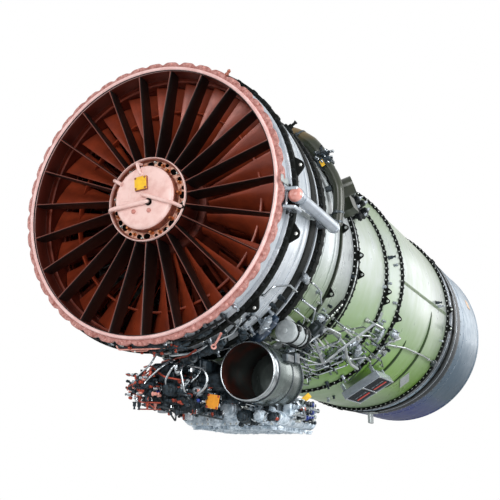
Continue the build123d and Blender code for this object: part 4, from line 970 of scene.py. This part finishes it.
def lugs(corners, rounding, half, cut, places):
    """Lugs on flanges at (angle, station, radius), rounded at their tips and flat to the flange."""
    shape = slab(soften(corners, rounding, 4), -half, half, cut)
    shapes = []
    for phi, station, radius in places:
        x, y, z = sides_of(phi)
        shapes.append(put(shape, on_case(phi, radius, station), x, z, y))
    return shapes


LUGS = ((91, 912, 424), (100, 958, 418), (118, 596, 466), (101, 1248, 451), (106, 1252, 451),
        (112, 1342, 496), (128, 1342, 496), (88, 596, 466), (100, 2229, 502), (89, 2229, 502),
        (180, 1248, 451), (215, 1248, 451), (262, 912, 424), (300, 1342, 496))
LUG_ANGLES = np.array([80.5, 106.0, 136.0, 265.0])
make("joint_one_lugs", lugs([(-40, -4), (40, -4), (9, 31), (-9, 31)], 9, 5, 1.2,
                            [(p, 89, 488) for p in LUG_ANGLES]), FLANGE, replaces=("case_lugs",))
x, y, z = sides_of(LUG_ANGLES)
make("joint_one_lug_bushings", copies(stack([(5.5, 11)]), on_case(LUG_ANGLES, 508, 94.5), x, z, -y), BOLT)
make("flange_lugs", lugs([(-23, 0), (23, 0), (5, 26), (-5, 26)], 6, 4, 1.0, LUGS), FLANGE)
phi, station, radius = np.array(LUGS, float).T
x, y, z = sides_of(phi)
make("flange_lug_bushings", copies(stack([(5.5, 9)]), on_case(phi, radius + 17, station - 4.6), x, z, y),
     BOLT)
make("drain_mast", pads(((16, 60, 62), 5, 178, 530, 2412), ((60, 110, 8), 3, 178, 503, 2412)), BOX_GREY)

# Split line of the duct: a dark strip with its own bolts, running down and forward
along = np.linspace(0, 1, 40)
strip_phi, strip_y = 118 + 27 * along, 880 - 180 * along
strip = on_case(strip_phi, skin(strip_y) + 3, strip_y)
make("split_line_strip", tube(strip, 9, 8), FLANGE)
row = np.linspace(2, 37, 22).astype(int)
outs = sides_of(strip_phi[row])[2]
make("split_line_bolts", stand(bolt(3.4, 4), strip[row] + outs * 8, outs), BOLT)


def hoop(station, radius, half, high, origin, axis=AFT):
    """Raised band round a tube."""
    return sleeve(station - half, station + half, radius - 0.8, radius + high, origin, axis, cut=1.0)


def ring_of_bolts(count, pitch, origin, axis, size):
    """Bolt heads in a circle on a small flange, standing along its axis."""
    z, x, y = frame_of(axis)
    turn = np.arange(count) * TAU / count
    spots = np.asarray(origin, float) + pitch * (np.cos(turn)[:, None] * x + np.sin(turn)[:, None] * y)
    return copies(bolt(*size), spots, x, y, z)


# Side strut: fork on the first flange, pink cap, turned rod with a domed end
HEAD, ALONG = (510, 0, -34), (0.02, 1, -0.045)
make("side_strut_rod", [
    spun([(20, 0), (20, 20), (23, 25), (42, 25), (45, 20.5), (50, 20.5), (356, 20.5), (368, 18.5), (377, 12),
          (381, 0)], HEAD, ALONG, 40, 4),
    hoop(62, 20.5, 4, 1.4, HEAD, ALONG), hoop(348, 20.5, 2, 1.2, HEAD, ALONG)],
     STRUT, replaces=("side_strut",))
make("side_strut_cap", spun([(4, 0), (4.6, 8), (7.5, 15), (13, 20.5), (20, 23.5), (27, 24), (30, 22)], HEAD,
                            ALONG, 40, 4), PINK_CAP)
# A black block of painted shade fills the fork's gap
make("side_strut_gap", pads(((54, 44, 30), 4, 94.6, 494, 46)), DEPTH_SHADE)
make("side_strut_fork", pads(((12, 58, 44), 4, 92.0, 500, 36), ((12, 58, 44), 4, 98.6, 500, 36),
                             ((66, 46, 8), 2.5, 95.3, 484, 40), ((24, 30, 40), 4, 95.2, 488, 330)), ALLOY)
make("side_strut_fork_bolts", [on_surface(bolt(5.5, 6), p, 487.5, s) for p in (90.4, 100.2) for s in (26, 54)]
     + [on_surface(stack([(9, 10), (6, 6)]), 95.3, 512, 330)], DARK_BOLT)

# Olive bleed duct, whose width and distance from the axis change round the casings, and the valves by it
BLEED_AT = 495
bend = np.linspace(90, 39, 60)
reach = np.interp(bend, (38, 44, 50, 62, 68, 74, 82, 90), (478, 488, 498, 499, 504, 505, 492, 480))
width = np.interp(bend, (38, 42, 56, 61, 90), (24, 27, 27, 19.5, 19.5))
make("bleed_pipe", tube(on_case(bend, reach, BLEED_AT), width, 28), OLIVE, replaces=("bleed_duct",))


def clamps(angles):
    """Band clamps round the bleed duct, each with its bolt block."""
    shapes = []
    for p in angles:
        r, w = np.interp(p, bend[::-1], reach[::-1]), np.interp(p, bend[::-1], width[::-1])
        x, y, z = sides_of(p)
        at = on_case(p, r, BLEED_AT)
        shapes += [sleeve(-4, 4, w - 1, w + 2.5, at, x, 28),
                   put(block((12, 16, 9), 1.5), at - y * (w + 4), x, y, z)]
    return shapes


make("bleed_pipe_clamps", clamps((89, 85, 62.5, 60.5, 57.5, 44))
     + pads(((20, 14, 34), 2, 86, 468, BLEED_AT), ((20, 14, 34), 2, 73, 468, BLEED_AT)), PIPE_DARK)
make("bleed_pipe_tag", pads(((24, 3, 14), 1.2, 62.6, 492, 463, 4)), YELLOW)
dress("bleed_pipe_fittings", 71, [((436, 482, 250), (60, 26, 60), (NOSE, HIGH, NOSE)),
                                  ((436, 484, 262), (50, 20, 50), (NOSE, SIDE, NOSE))],
      (("dark", CONTROL, 0.55), ("bright", PIPE, 0.45)), 11, 0.62)
make("bleed_pipe_joint", pads(((20, 62, 54), 6, 61.5, 499, 495), ((12, 30, 20), 3, 59, 520, 480)), CONTROL)
make("bleed_pipe_brackets", pads(((44, 36, 30), 5, 60, 484, 560, 20), ((60, 26, 30), 4, 66, 478, 600),
                                 ((34, 60, 34), 6, 52, 480, 560)), OLIVE_BAND)
make("upper_valves", valves(
    (66, 560, 70, 13, 60), (58, 600, 80, 14, 20), (72, 640, 60, 11, 80), (62, 720, 80, 13, 30),
    (61, 860, 60, 17, 80), (66, 900, 56, 15, 20), (62, 950, 70, 18, 60), (55, 560, 60, 12, 10),
    (66, 985, 50, 14, 80), (63, 1040, 60, 14, 30), (58, 905, 50, 13)) + pads(
        ((22, 30, 50), 4, 60, 462, 880), ((26, 34, 44), 4, 61, 468, 925), ((22, 28, 50), 4, 62, 470, 972),
        ((26, 30, 40), 4, 64, 464, 1018), ((60, 150, 16), 4, 59, 452, 950)), DARK_BOLT)
make("upper_valve_ends", [on_surface(stack([(8, 5), (5, 7)]), *at) for at in (
    (60, 486, 880), (61.5, 489, 925), (62.5, 494, 972), (64, 483, 1018), (66, 470, 900),
    (67, 468, 990))], ALLOY)
make("flange_hooks", pads(((36, 22, 10), 4, 66, 490, 84), ((20, 26, 13), 4, 59, 491, 80),
                          ((42, 20, 10), 4, 51, 490, 84), ((16, 26, 12), 4, 44, 490, 78),
                          ((14, 30, 10), 4, 37, 488, 62), ((26, 40, 12), 4, 54, 484, 250))
     + [on_surface(stack([(9, 14), (5, 14), (7, 5)]), 54, 486, 250)], FLANGE)
make("flange_pin", on_surface(stack([(7, 8), (5, 6), (6, 7), (3, 3)], 14, 1.2), 34, 478, 10), COPPER_AND_SHADE)

# Open duct beside the gearbox
DUCT_AT = (245, 0, -533)
make("open_duct_wall", [sleeve(277, 531, 95, 98, DUCT_AT, AFT, 96),
                        spun([(520, 0), (521, 60), (526, 97), (532, 97), (532, 0)], DUCT_AT, AFT, 64)],
     OPEN_METAL, replaces=("open_duct",))
make("open_duct_bore", sleeve(279, 521, 94.3, 95.3, DUCT_AT, AFT, 96), BORE_SHADE)
make("open_duct_rim", [hollow([(275.9, 93.8), (275.9, 98), (281, 98.8), (281, 93.8)], DUCT_AT, AFT, 96, 1.4),
                       sleeve(284, 316, 97, 99, DUCT_AT, AFT, 96)], PIPE)
make("open_duct_hoops", [hoop(s, 98, h, t, DUCT_AT) for s, h, t in ((319, 2.5, 3), (440, 3, 2), (526, 5, 4))],
     PIPE_DARK)
make("open_duct_feet", blocks(((50, 40, 24), 4, (245, 505, -636)),
                              ((16, 30, 46), 3, (163, 430, -443), (0.906, 0, 0.423), AFT, (-0.423, 0, 0.906)),
                              ((24, 60, 30), 4, (338, 400, -480)), ((30, 40, 40), 4, (330, 480, -470))),
     PIPE_DARK)

# Gearbox: cast case with a rear cover, ribs and bosses below, and pump drums in front; FLOOR is its underside
BOX_LINE = np.array([(-96, -562), (135, -562), (135, -644), (270, -644), (294, -662), (278, -692),
                     (-70, -697), (-110, -660)], float)
FLOOR = -697


def box_case(low, high, grow=0.0, cut=5.0):
    """Slab of the gearbox's section from one station to another, its outline moved out a little."""
    middle = BOX_LINE.mean(0)
    edge = middle + (BOX_LINE - middle) * (1 + grow / 120.0)
    return put(slab(soften(edge, 16, 5), low, high, cut), ORIGIN, (1, 0, 0), UP, AFT)


make("gearbox_case", [box_case(478, 806), *blocks(
    ((40, 30, 88), 5, (-60, 510, -520)), ((40, 30, 88), 5, (-60, 632, -520)),
    *[((7, 300, 24), 3, (x, 645, FLOOR)) for x in (-30, 20, 60, 105, 150, 195, 240)],
    *[((290, 7, 22), 3, (95, y, FLOOR)) for y in (520, 600, 690, 770)])], GEARBOX,
     replaces=("gearbox_housing",))
make("gearbox_rear", [box_case(808, 820), box_case(800, 806, 2.0, 1.5), box_case(482, 490, 2.0, 1.5)],
     GEARBOX, replaces=("gearbox_cover",))
low_spots = np.array([(x, y, FLOOR) for y in (500, 560, 640, 730, 790)
                      for x in (-50, 5, 40, 84, 128, 172, 216, 262)], float)
low_spots[:, :2] += np.random.RandomState(5).uniform(-12, 12, (len(low_spots), 2))
make("gearbox_bosses", [stand(stack([(16, 4), (11, 8)], 16, 1.5), low_spots[::3], DOWN),
                        stand(stack([(9, 7), (5, 5)], 14, 1.0), low_spots[1::3], DOWN),
                        stand(bolt(6, 10), low_spots[2::3], DOWN)], GEARBOX)
make("gearbox_bolts", [copies(bolt(4, 5), [(x, y, -690) for x in np.linspace(-60, 270, 16)], *TO_FRONT)
                       for y in (482, 798)], BOLT)


def drums(*rows):
    """Round pumps or covers in front of a box: bolted flange at the rear, stepped body and domed front. A row
    is (x, z, front, rear, radius), with the number of flange bolts if it isn't six."""
    shapes = []
    for x, z, front, rear, radius, *bolts_on in rows:
        long = rear - front
        steps = [(rear, 1.22), (rear - 7, 1.22), (rear - 8, 1.0), (front + long * 0.36, 1.0),
                 (front + long * 0.34, 0.88), (front + long * 0.14, 0.86), (front + long * 0.12, 0.64),
                 (front + 3, 0.62), (front, 0.54)]
        outline = [(rear, 0)] + [(y, radius * r) for y, r in steps] + [(front, 0)]
        shapes += [spun(outline, (x, 0, z), AFT, 32, 1.4),
                   ring_of_bolts(sum(bolts_on) or 6, radius * 1.11, (x, rear - 7, z), FORE, (3.2, 4)),
                   ring_of_bolts(5, radius * 0.75, (x, front + long * 0.12, z), FORE, (2.4, 3))]
    return shapes


make("gearbox_pumps", drums((100, -640, 424, 478, 31, 8), (222, -668, 420, 478, 22),
                            (40, -676, 440, 478, 20)), GEARBOX, hard=20.0)
# Three dark drums stand for the dark gaps between the pale castings: painted shade
make("gearbox_dark_pumps", drums((168, -668, 400, 478, 24), (262, -668, 446, 478, 15),
                                 (150, -612, 440, 478, 22)), CONTROL, hard=20.0)
make("gearbox_side_blocks", blocks(
    ((34, 80, 44), 5, (288, 560, -640)), ((30, 56, 60), 4, (286, 640, -622)),
    ((28, 120, 30), 4, (250, 640, -636)), ((60, 60, 50), 6, (180, 620, -620)),
    ((50, 70, 40), 6, (215, 740, -622)), ((80, 50, 60), 8, (60, 560, -540)),
    ((44, 46, 56), 5, (-10, 700, -536))), GEARBOX)
make("connector_block", blocks(((24, 84, 62), 3, (308, 640, -634)), ((30, 10, 66), 2, (306, 596, -634)),
                               ((30, 10, 66), 2, (306, 684, -634))), OPEN_METAL)
plugs = np.array([(320, y, z) for z in (-612, -640, -662) for y in (614, 640, 666)], float)
make("connector_caps", stand(stack([(9, 8), (7, 6)], 14, 1), plugs[[2, 5, 6, 7, 8]], (1, 0, 0)), BLUE_FIT)
make("connector_nuts", stand(stack([(9, 6), (6, 10)], 14, 1), plugs[[0, 1, 3, 4]], (1, 0, 0)), PIPE_DARK)
make("gearbox_tag", blocks(((3, 42, 20), 1, (300, 672, -588), (0.6, -0.8, 0), (0.616, 0.462, 0.64),
                            (-0.512, -0.384, 0.77))), YELLOW)
make("gearbox_tag_bracket", blocks(((10, 12, 46), 2, (296, 678, -606))), GEARBOX)
make("gearbox_dark_bolts", [ring_of_bolts(8, 14, (x, y, FLOOR), DOWN, (3.6, 5)) for x, y in (
    (5, 560), (128, 640), (216, 560), (84, 740), (216, 740))]
     + [ring_of_bolts(7, 22, (x, 478, z), FORE, (3.4, 5)) for x, z in ((200, -630), (0, -640))], DARK_BOLT)
spots, normals = dress("gearbox_fittings", 21, [
    ((180, 640, -620), (230, 300, 50), (SIDE, HIGH, NOSE)), ((210, 478, -660), (150, 10, 60), (NOSE, NOSE)),
    ((288, 640, -650), (40, 240, 60), (SIDE, SIDE)), ((100, 470, -600), (120, 20, 60), (NOSE, NOSE))],
    (("bright", BOLT, 0.3), ("dark", CONTROL, 0.4), ("cast", GEARBOX, 0.22), ("red", RED_FIT, 0.08)), 18)
make("gearbox_pipes", loops(spots, normals, [(0, 5), (2, 9), (18, 25), (20, 29), (34, 41), (36, 44), (50, 57),
                                             (52, 60)], 26, 3.2), PIPE)
dress("gearbox_pads", 81, [
    ((190, 480, -650), (190, 16, 84), (NOSE, NOSE)), ((200, 486, -672), (170, 16, 44), (NOSE, NOSE)),
    ((200, 625, -628), (180, 110, 30), (HIGH, SIDE)), ((282, 650, -640), (30, 260, 70), (SIDE, SIDE)),
    ((100, 640, -678), (330, 280, 8), (LOW, LOW))],
    (("cast", GEARBOX, 0.5), ("dark", CONTROL, 0.35), ("bright", PIPE, 0.15)), 17, 0.8, PADS)

# Fuel control in front of the gearbox: stepped castings, valve drums and a crowd of coloured fittings
make("control_castings", blocks(
    ((130, 148, 88), 9, (-26, 404, -606)), ((150, 120, 96), 10, (-40, 284, -596)),
    ((90, 90, 60), 8, (20, 300, -640)), ((70, 100, 50), 8, (70, 330, -590)),
    ((60, 60, 40), 6, (-70, 250, -634)), ((54, 70, 44), 6, (90, 400, -600)))
     + drums((-70, -590, 128, 228, 28, 8), (8, -598, 160, 230, 22), (-20, -560, 180, 240, 16),
             (50, -630, 200, 262, 15), (-104, -560, 190, 240, 13)), CONTROL, replaces=("control_unit",))
make("control_drums", [
    spun([(0, 0), (0, 24), (12, 24), (14, 19), (36, 19), (38, 12), (38, 0)], (-60, 270, -630), DOWN, 28, 1.5),
    spun([(0, 0), (0, 20), (10, 20), (12, 15), (30, 15), (30, 0)], (30, 290, -660), DOWN, 28, 1.5),
    spun([(0, 0), (0, 22), (12, 22), (14, 15), (40, 15), (40, 0)], (-100, 300, -580), (-1, 0, 0), 28, 1.5),
    spun([(0, 0), (0, 16), (22, 16), (24, 11), (34, 11), (34, 0)], (80, 262, -600), FORE, 24, 1.5)], ALLOY)
make("control_lever", [
    put(slab(soften([(-9, 0), (9, 0), (6, -62), (-6, -62)], 5, 4), -4, 4, 1), (-146, 300, -582), AFT, UP,
        (1, 0, 0)),
    rod(0, 12, 14, (-140, 300, -580), (-1, 0, 0), 24, 1),
    put(stack([(6, 5), (4, 8)], 12), (-149, 300, -636), AFT, UP, (-1, 0, 0))],
     PIPE_DARK, "lever", replaces=("throttle_lever",))
SKINS = (SIDE, (0, -1), NOSE, NOSE, LOW, HIGH)
spots, normals = dress("control_fittings_left", 31, [
    ((-84, 250, -590), (104, 190, 92), SKINS[:1] + SKINS[2:]), ((-70, 180, -590), (66, 104, 66), SKINS)],
    (("red", RED_FIT, 0.34), ("pink", PINK_FIT, 0.1), ("bright", PIPE, 0.2), ("blue", BLUE_FIT, 0.02),
     ("dark", CONTROL, 0.34)), 64, 0.75)
make("control_pipes_left", loops(spots, normals, [(a, a + 9) for a in range(0, 80, 13)], 12, 2.4), RED_FIT)
spots, normals = dress("control_fittings", 41, [
    ((10, 300, -610), (150, 170, 104), SKINS), ((40, 380, -606), (160, 150, 92), SKINS),
    ((50, 262, -620), (110, 60, 76), SKINS)],
    (("red", RED_FIT, 0.16), ("pink", PINK_FIT, 0.05), ("bright", PIPE, 0.24), ("blue", BLUE_FIT, 0.02),
     ("dark", CONTROL, 0.53)), 54, 0.8)
make("control_pipes", loops(spots, normals, [(a, a + 11) for a in range(0, 90, 13)], 20, 3.0), PIPE_DARK)
dress("control_pads", 91, [
    ((-40, 284, -596), (150, 150, 96), (NOSE, LOW, HIGH)),
    ((30, 380, -606), (150, 150, 90), (LOW, SIDE, NOSE)), ((10, 240, -570), (170, 60, 90), (NOSE, HIGH))],
    (("dark", CONTROL, 0.7), ("bright", PIPE, 0.3)), 18, 0.8, PADS)
spots = np.random.RandomState(97).uniform((141, 640), (169, 1225), (66, 2))
feet, outs = on_skin(spots)
for first, (label, parts, material) in enumerate((("bright", PARTS, PIPE), ("pads", PADS, ALLOY),
                                                  ("dark", PADS, CONTROL))):
    make("duct_clutter_" + label, [stand(part, feet[first + 3 * k::18], outs[first + 3 * k::18])
                                   for k, part in enumerate(parts)], material)
PLATE_SIDES = ((0.98, 0, -0.17), AFT, (0.17, 0, 0.98))
make("control_plate", blocks(((44, 3, 46), 1, (136, 250, -634), *PLATE_SIDES)), AMBER,
     replaces=("unit_plate",))
screws = corners_of((136, 248.4, -634), (18, 19), *PLATE_SIDES[::2])
make("control_plate_screws",
     [copies(bolt(3, 3), screws, *TO_FRONT), *blocks(((30, 24, 34), 4, (134, 264, -632)))], RED_FIT)


def small_pipes(sides, *rows):
    """Bent pipes through the given corners: each row is (radius, corners)."""
    return [tube(route(corners, 14), radius, sides) for radius, corners in rows]


make("fuel_pipes", small_pipes(
    12,
    (4.6, [(30, 230, -520), (45, 215, -514), (118, 215, -530), (132, 215, -560), (128, 215, -590),
           (92, 215, -616), (80, 250, -620)]),
    (4.0, [(10, 190, -500), (-9, 150, -531), (-54, 140, -572), (-60, 128, -590)]),
    (3.6, [(50, 200, -500), (38, 150, -527), (10, 150, -575), (8, 170, -590)]),
    (3.6, [(64, 200, -500), (60, 160, -540), (70, 170, -600), (60, 230, -630)]),
    (3.4, [(90, 240, -500), (100, 220, -545), (84, 200, -570), (60, 220, -580)]),
    (3.2, [(-30, 160, -480), (-40, 140, -520), (-90, 140, -560), (-110, 190, -560)])), PIPE)
make("red_pipes", small_pipes(
    10,
    (3.2, [(133, 124, -482), (90, 150, -496), (-40, 240, -496), (-76, 274, -494), (-84, 280, -550)]),
    (3.2, [(-100, 200, -520), (-60, 170, -520), (0, 160, -560), (60, 200, -570)]),
    (2.8, [(-110, 240, -540), (-120, 200, -600), (-90, 160, -640), (-30, 200, -640)])), RED_FIT)
make("fuel_hangers", blocks(
    *[((12, 20, 90), 3, (x, y, -520)) for x, y in ((-60, 300), (60, 300), (-20, 420), (90, 420))],
    ((180, 16, 16), 3, (20, 300, -500)), ((160, 16, 16), 3, (30, 420, -500)),
    ((170, 120, 44), 8, (24, 300, -516)), ((120, 90, 40), 8, (70, 390, -520)),
    ((80, 60, 50), 8, (-50, 250, -530)), ((84, 70, 60), 8, (98, 330, -560)),
    ((60, 60, 90), 8, (118, 420, -580))), CONTROL)

# Fittings that hang under the lip, and the link rod with its eye
dress("lip_fittings", 51, [
    ((-10, 40, -476), (170, 34, 18), (LOW, NOSE, SIDE)), ((60, 70, -476), (120, 44, 18), (LOW, NOSE))],
    (("red", RED_FIT, 0.42), ("pink", PINK_FIT, 0.2), ("bright", BOLT, 0.13), ("dark", CONTROL, 0.25)),
    14, 0.7)
make("lip_fitting_bars", blocks(((172, 36, 20), 3, (-10, 40, -476)), ((122, 46, 20), 3, (60, 70, -476)),
                                ((16, 24, 40), 3, (-84, 44, -458)), ((16, 24, 40), 3, (110, 44, -458))),
     CONTROL)
make("lip_pipes", [tube(route(run, 10), radius, 10) for radius, run in (
    (2.6, [(-100, 22, -474), (-92, 24, -487), (30, 26, -488), (70, 40, -484), (70, 40, -474)]),
    (2.2, [(-60, 30, -474), (-50, 34, -492), (10, 36, -492), (14, 36, -474)]))], PINK_FIT)
make("link_rod", [tube([(272, 22, -450), (256, 33, -468), (242, 42, -481)], 3.6, 12),
                  sleeve(-3, 3, 4, 9, (236, 46, -487), (0.3, -0.9, 0.3), 24, 1)], PINK_CAP)

# Accumulator: grey bottle with bolted ends, straps and a bracket
TANK = (347, 0, -394)
make("accumulator_bottle", [
    spun([(352, 0), (352, 30), (354, 37.5), (364, 38.5), (368, 35.5), (470, 38), (470, 0)], TANK, AFT, 48,
         0.6),
    rod(343, 352, 9, TANK, AFT, 20, 1), *pads(((50, 60, 44), 5, 138, 484, 410))],
     MATT_GREY, replaces=("accumulator",))
make("accumulator_bands", [
    *[hoop(s, 38, 4, 1.6, TANK) for s in (384, 448)], rod(470, 484, 44, TANK, AFT, 48, 1.5),
    *blocks(((12, 90, 6), 2, (347, 415, -432))), ring_of_bolts(10, 41, (347, 484, -394), AFT, (3.4, 4)),
    ring_of_bolts(10, 41, (347, 470, -394), FORE, (3.4, 4)),
    *blocks(((16, 20, 18), 2, (383, 384, -384)), ((16, 20, 18), 2, (383, 448, -384)))], DARK_BOLT)
head, tail = on_case(149, 500, 316), on_case(138, 500, 297)
make("slim_actuator", [
    spun([(0, 0), (0, 12), (20, 16), (60, 16), (64, 11), (96, 11), (100, 0)], head, tail - head, 24, 2),
    *pads(((30, 24, 40), 4, 149, 486, 316), ((30, 24, 30), 4, 138, 488, 297))], DEEP_BLUE)
make("side_brackets", [
    *pads(((16, 110, 10), 2, 148, 476, 436, 15), ((60, 18, 24), 3, 150, 476, 382),
          ((14, 118, 4), 1, 96, 482, 168)),
    on_surface(stack([(5, 8), (7, 6)], 12), 96, 484, 229), *pads(((24, 54, 4), 1.2, 88.5, 478, 12)),
    on_surface(stack([(26, 5), (22, 5)], 28, 1), 147, 512, 432)], BOX_GREY)

# Control box: silver frame, two black panels with ribs and a red bar each, at its angle and station
BOX_PHI, BOX_AT, PANELS = 148.7, 1500, (-45, 45)


def on_box(shape, spots, radius):
    """Copies of a shape on the control box, at spots of its own X and Y, and at a radius."""
    return [on_surface(put(shape, (x, y, 0)), BOX_PHI, radius, BOX_AT) for x, y in spots]


make("control_box_frame", [
    *on_box(block((186, 214, 32), 3), [(0, 0)], 539),
    *on_box(block((16, 14, 40), 3), [(x, y) for x in (-76, 76) for y in (-88, 88)], 508),
    *on_box(block((5, 214, 7), 1.5), [(-90, 0)], 556), *on_box(block((6, 214, 7), 1.5), [(0, 0)], 556),
    *on_box(block((5, 214, 7), 1.5), [(90, 0)], 556),
    *on_box(block((186, 5, 7), 1.5), [(0, -104), (0, 104)], 556)], STRUT, replaces=("control_box",))
make("control_box_panels", on_box(block((82, 190, 3), 1), [(x, 0) for x in PANELS], 556)
     + on_box(block((80, 5, 3), 1), [(x, y) for x in PANELS for y in range(-80, 90, 16)], 558), PANEL)
make("control_box_bars", on_box(block((66, 14, 3), 1), [(x, 30) for x in PANELS], 559.5), PANEL_RED)
make("control_box_marks", on_box(block((16, 4, 2), 0.6), [(x + k, -14) for x in PANELS for k in (-22, 0, 22)],
                                 559.5), STRUT)
make("control_box_screws", on_box(bolt(4.5, 4), [(x, y) for x in (-90, 0, 90) for y in (-100, 100)], 559),
     BOLT)

# Finishes of the solids that are kept
for material, nodes in (
        (GEAR, "front_bearing core_shaft fan_shaft shaft_bearings tower_shaft drive_gear pump_gear"),
        (BORE_RED_SHADED, "fan_drum fan_stators fan_exit_vanes"), (CASING, "frame_struts tower_tube top_mount"),
        (LINER, "jet_pipe_liner"),
        (CORE, "core_front_case core_hub burner_case core_compressor core_stators"),
        (HOT, "burner_liner turbine_case turbine_vanes exhaust_frame exhaust_cone mixer flame_holder"),
        (HOT, "core_turbine fan_turbine"), (PIPE_DARK, "fuel_nozzles"), (OLIVE, "bleed_valve")):
    for node in nodes.split():
        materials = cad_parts[node].data.materials
        materials.clear()
        materials.append(material)


# Floor, light and camera

def flat_sheet(name, size, z, material):
    """Square floor sheet about the axis, facing up."""
    mesh = bpy.data.meshes.new(name)
    mesh.from_pydata([(-size, -size, z), (size, -size, z), (size, size, z), (-size, size, z)], [],
                     [(0, 1, 2, 3)])
    mesh.materials.append(material)
    sheet = bpy.data.objects.new(name, mesh)
    bpy.context.collection.objects.link(sheet)


def white_to_eye(tree, surface, out):
    """Shows plain white to camera, glossy and transmission rays, and the lit surface to all others."""
    path = add(tree, "ShaderNodeLightPath")
    seen = add(tree, "ShaderNodeMath",
               {0: path.outputs["Is Glossy Ray"], 1: path.outputs["Is Transmission Ray"]},
               operation="MAXIMUM")
    seen = add(tree, "ShaderNodeMath", {0: path.outputs["Is Camera Ray"], 1: seen.outputs[0]},
               operation="MAXIMUM")
    kind = "ShaderNodeBackground" if out.bl_idname == "ShaderNodeOutputWorld" else "ShaderNodeEmission"
    white = add(tree, kind, {"Color": (1, 1, 1, 1), "Strength": 1.0})
    mix = add(tree, "ShaderNodeMixShader", {0: seen.outputs[0], 1: surface, 2: white.outputs[0]})
    tree.links.new(mix.outputs[0], out.inputs["Surface"])


floor_paint = bpy.data.materials.new("pale_studio_floor")
floor_paint.use_nodes = True
floor_shader = floor_paint.node_tree.nodes["Principled BSDF"]
floor_shader.inputs["Base Color"].default_value = colour("#E6E6E6")
floor_shader.inputs["Roughness"].default_value = 0.8
flat_sheet("studio_floor", 14.0, -1.45, floor_paint)

world = bpy.data.worlds.new("studio")
bpy.context.scene.world = world
world.use_nodes = True
sky = world.node_tree
soft = sky.nodes["Background"]
soft.inputs["Color"].default_value = (1.0, 1.0, 1.0, 1.0)
soft.inputs["Strength"].default_value = 0.3
white_to_eye(sky, soft.outputs[0], sky.nodes["World Output"])


def hold(name, data, right, up, back, place):
    """Puts a lamp or a camera at a place in metres, looking against its back direction."""
    held = bpy.data.objects.new(name, data)
    held.matrix_world = Matrix([(*row, p) for row, p in zip(np.column_stack([right, up, back]), place)]
                               + [(0, 0, 0, 1)])
    bpy.context.collection.objects.link(held)
    return held


def lamp(name, place, aim, size, power):
    """Large soft lamp at a place in metres, turned to its aim."""
    light = bpy.data.lights.new(name, "AREA")
    light.shape = "SQUARE"
    light.size = size
    light.energy = power
    back, right, up = frame_of(np.subtract(place, aim))
    hold(name, light, right, up, back, place)


lamp("side_lamp", (4.1, 0.3, 0.6), (0.2, 1.0, -0.1), 2.4, 165)
lamp("aft_lamp", (1.9, 5.4, 0.9), (0.4, 1.4, 0.0), 1.8, 18)
lamp("front_lamp", (0.9, -4.4, 0.9), (0.0, 0.0, 0.0), 2.6, 125)
lamp("left_lamp", (-3.6, -1.5, 1.0), (0.0, 1.0, 0.0), 2.6, 40)

eye = bpy.data.cameras.new("viewpoint")
eye.sensor_width = 36.0
eye.lens = 64.8
eye.clip_end = 60.0
bpy.context.scene.camera = hold("viewpoint", eye, (0.911, 0.410, 0.022), (0.083, -0.237, 0.968),
                                (0.402, -0.880, -0.250), (1.473, -2.411, -0.888))
bpy.context.scene.view_settings.view_transform = "Standard"
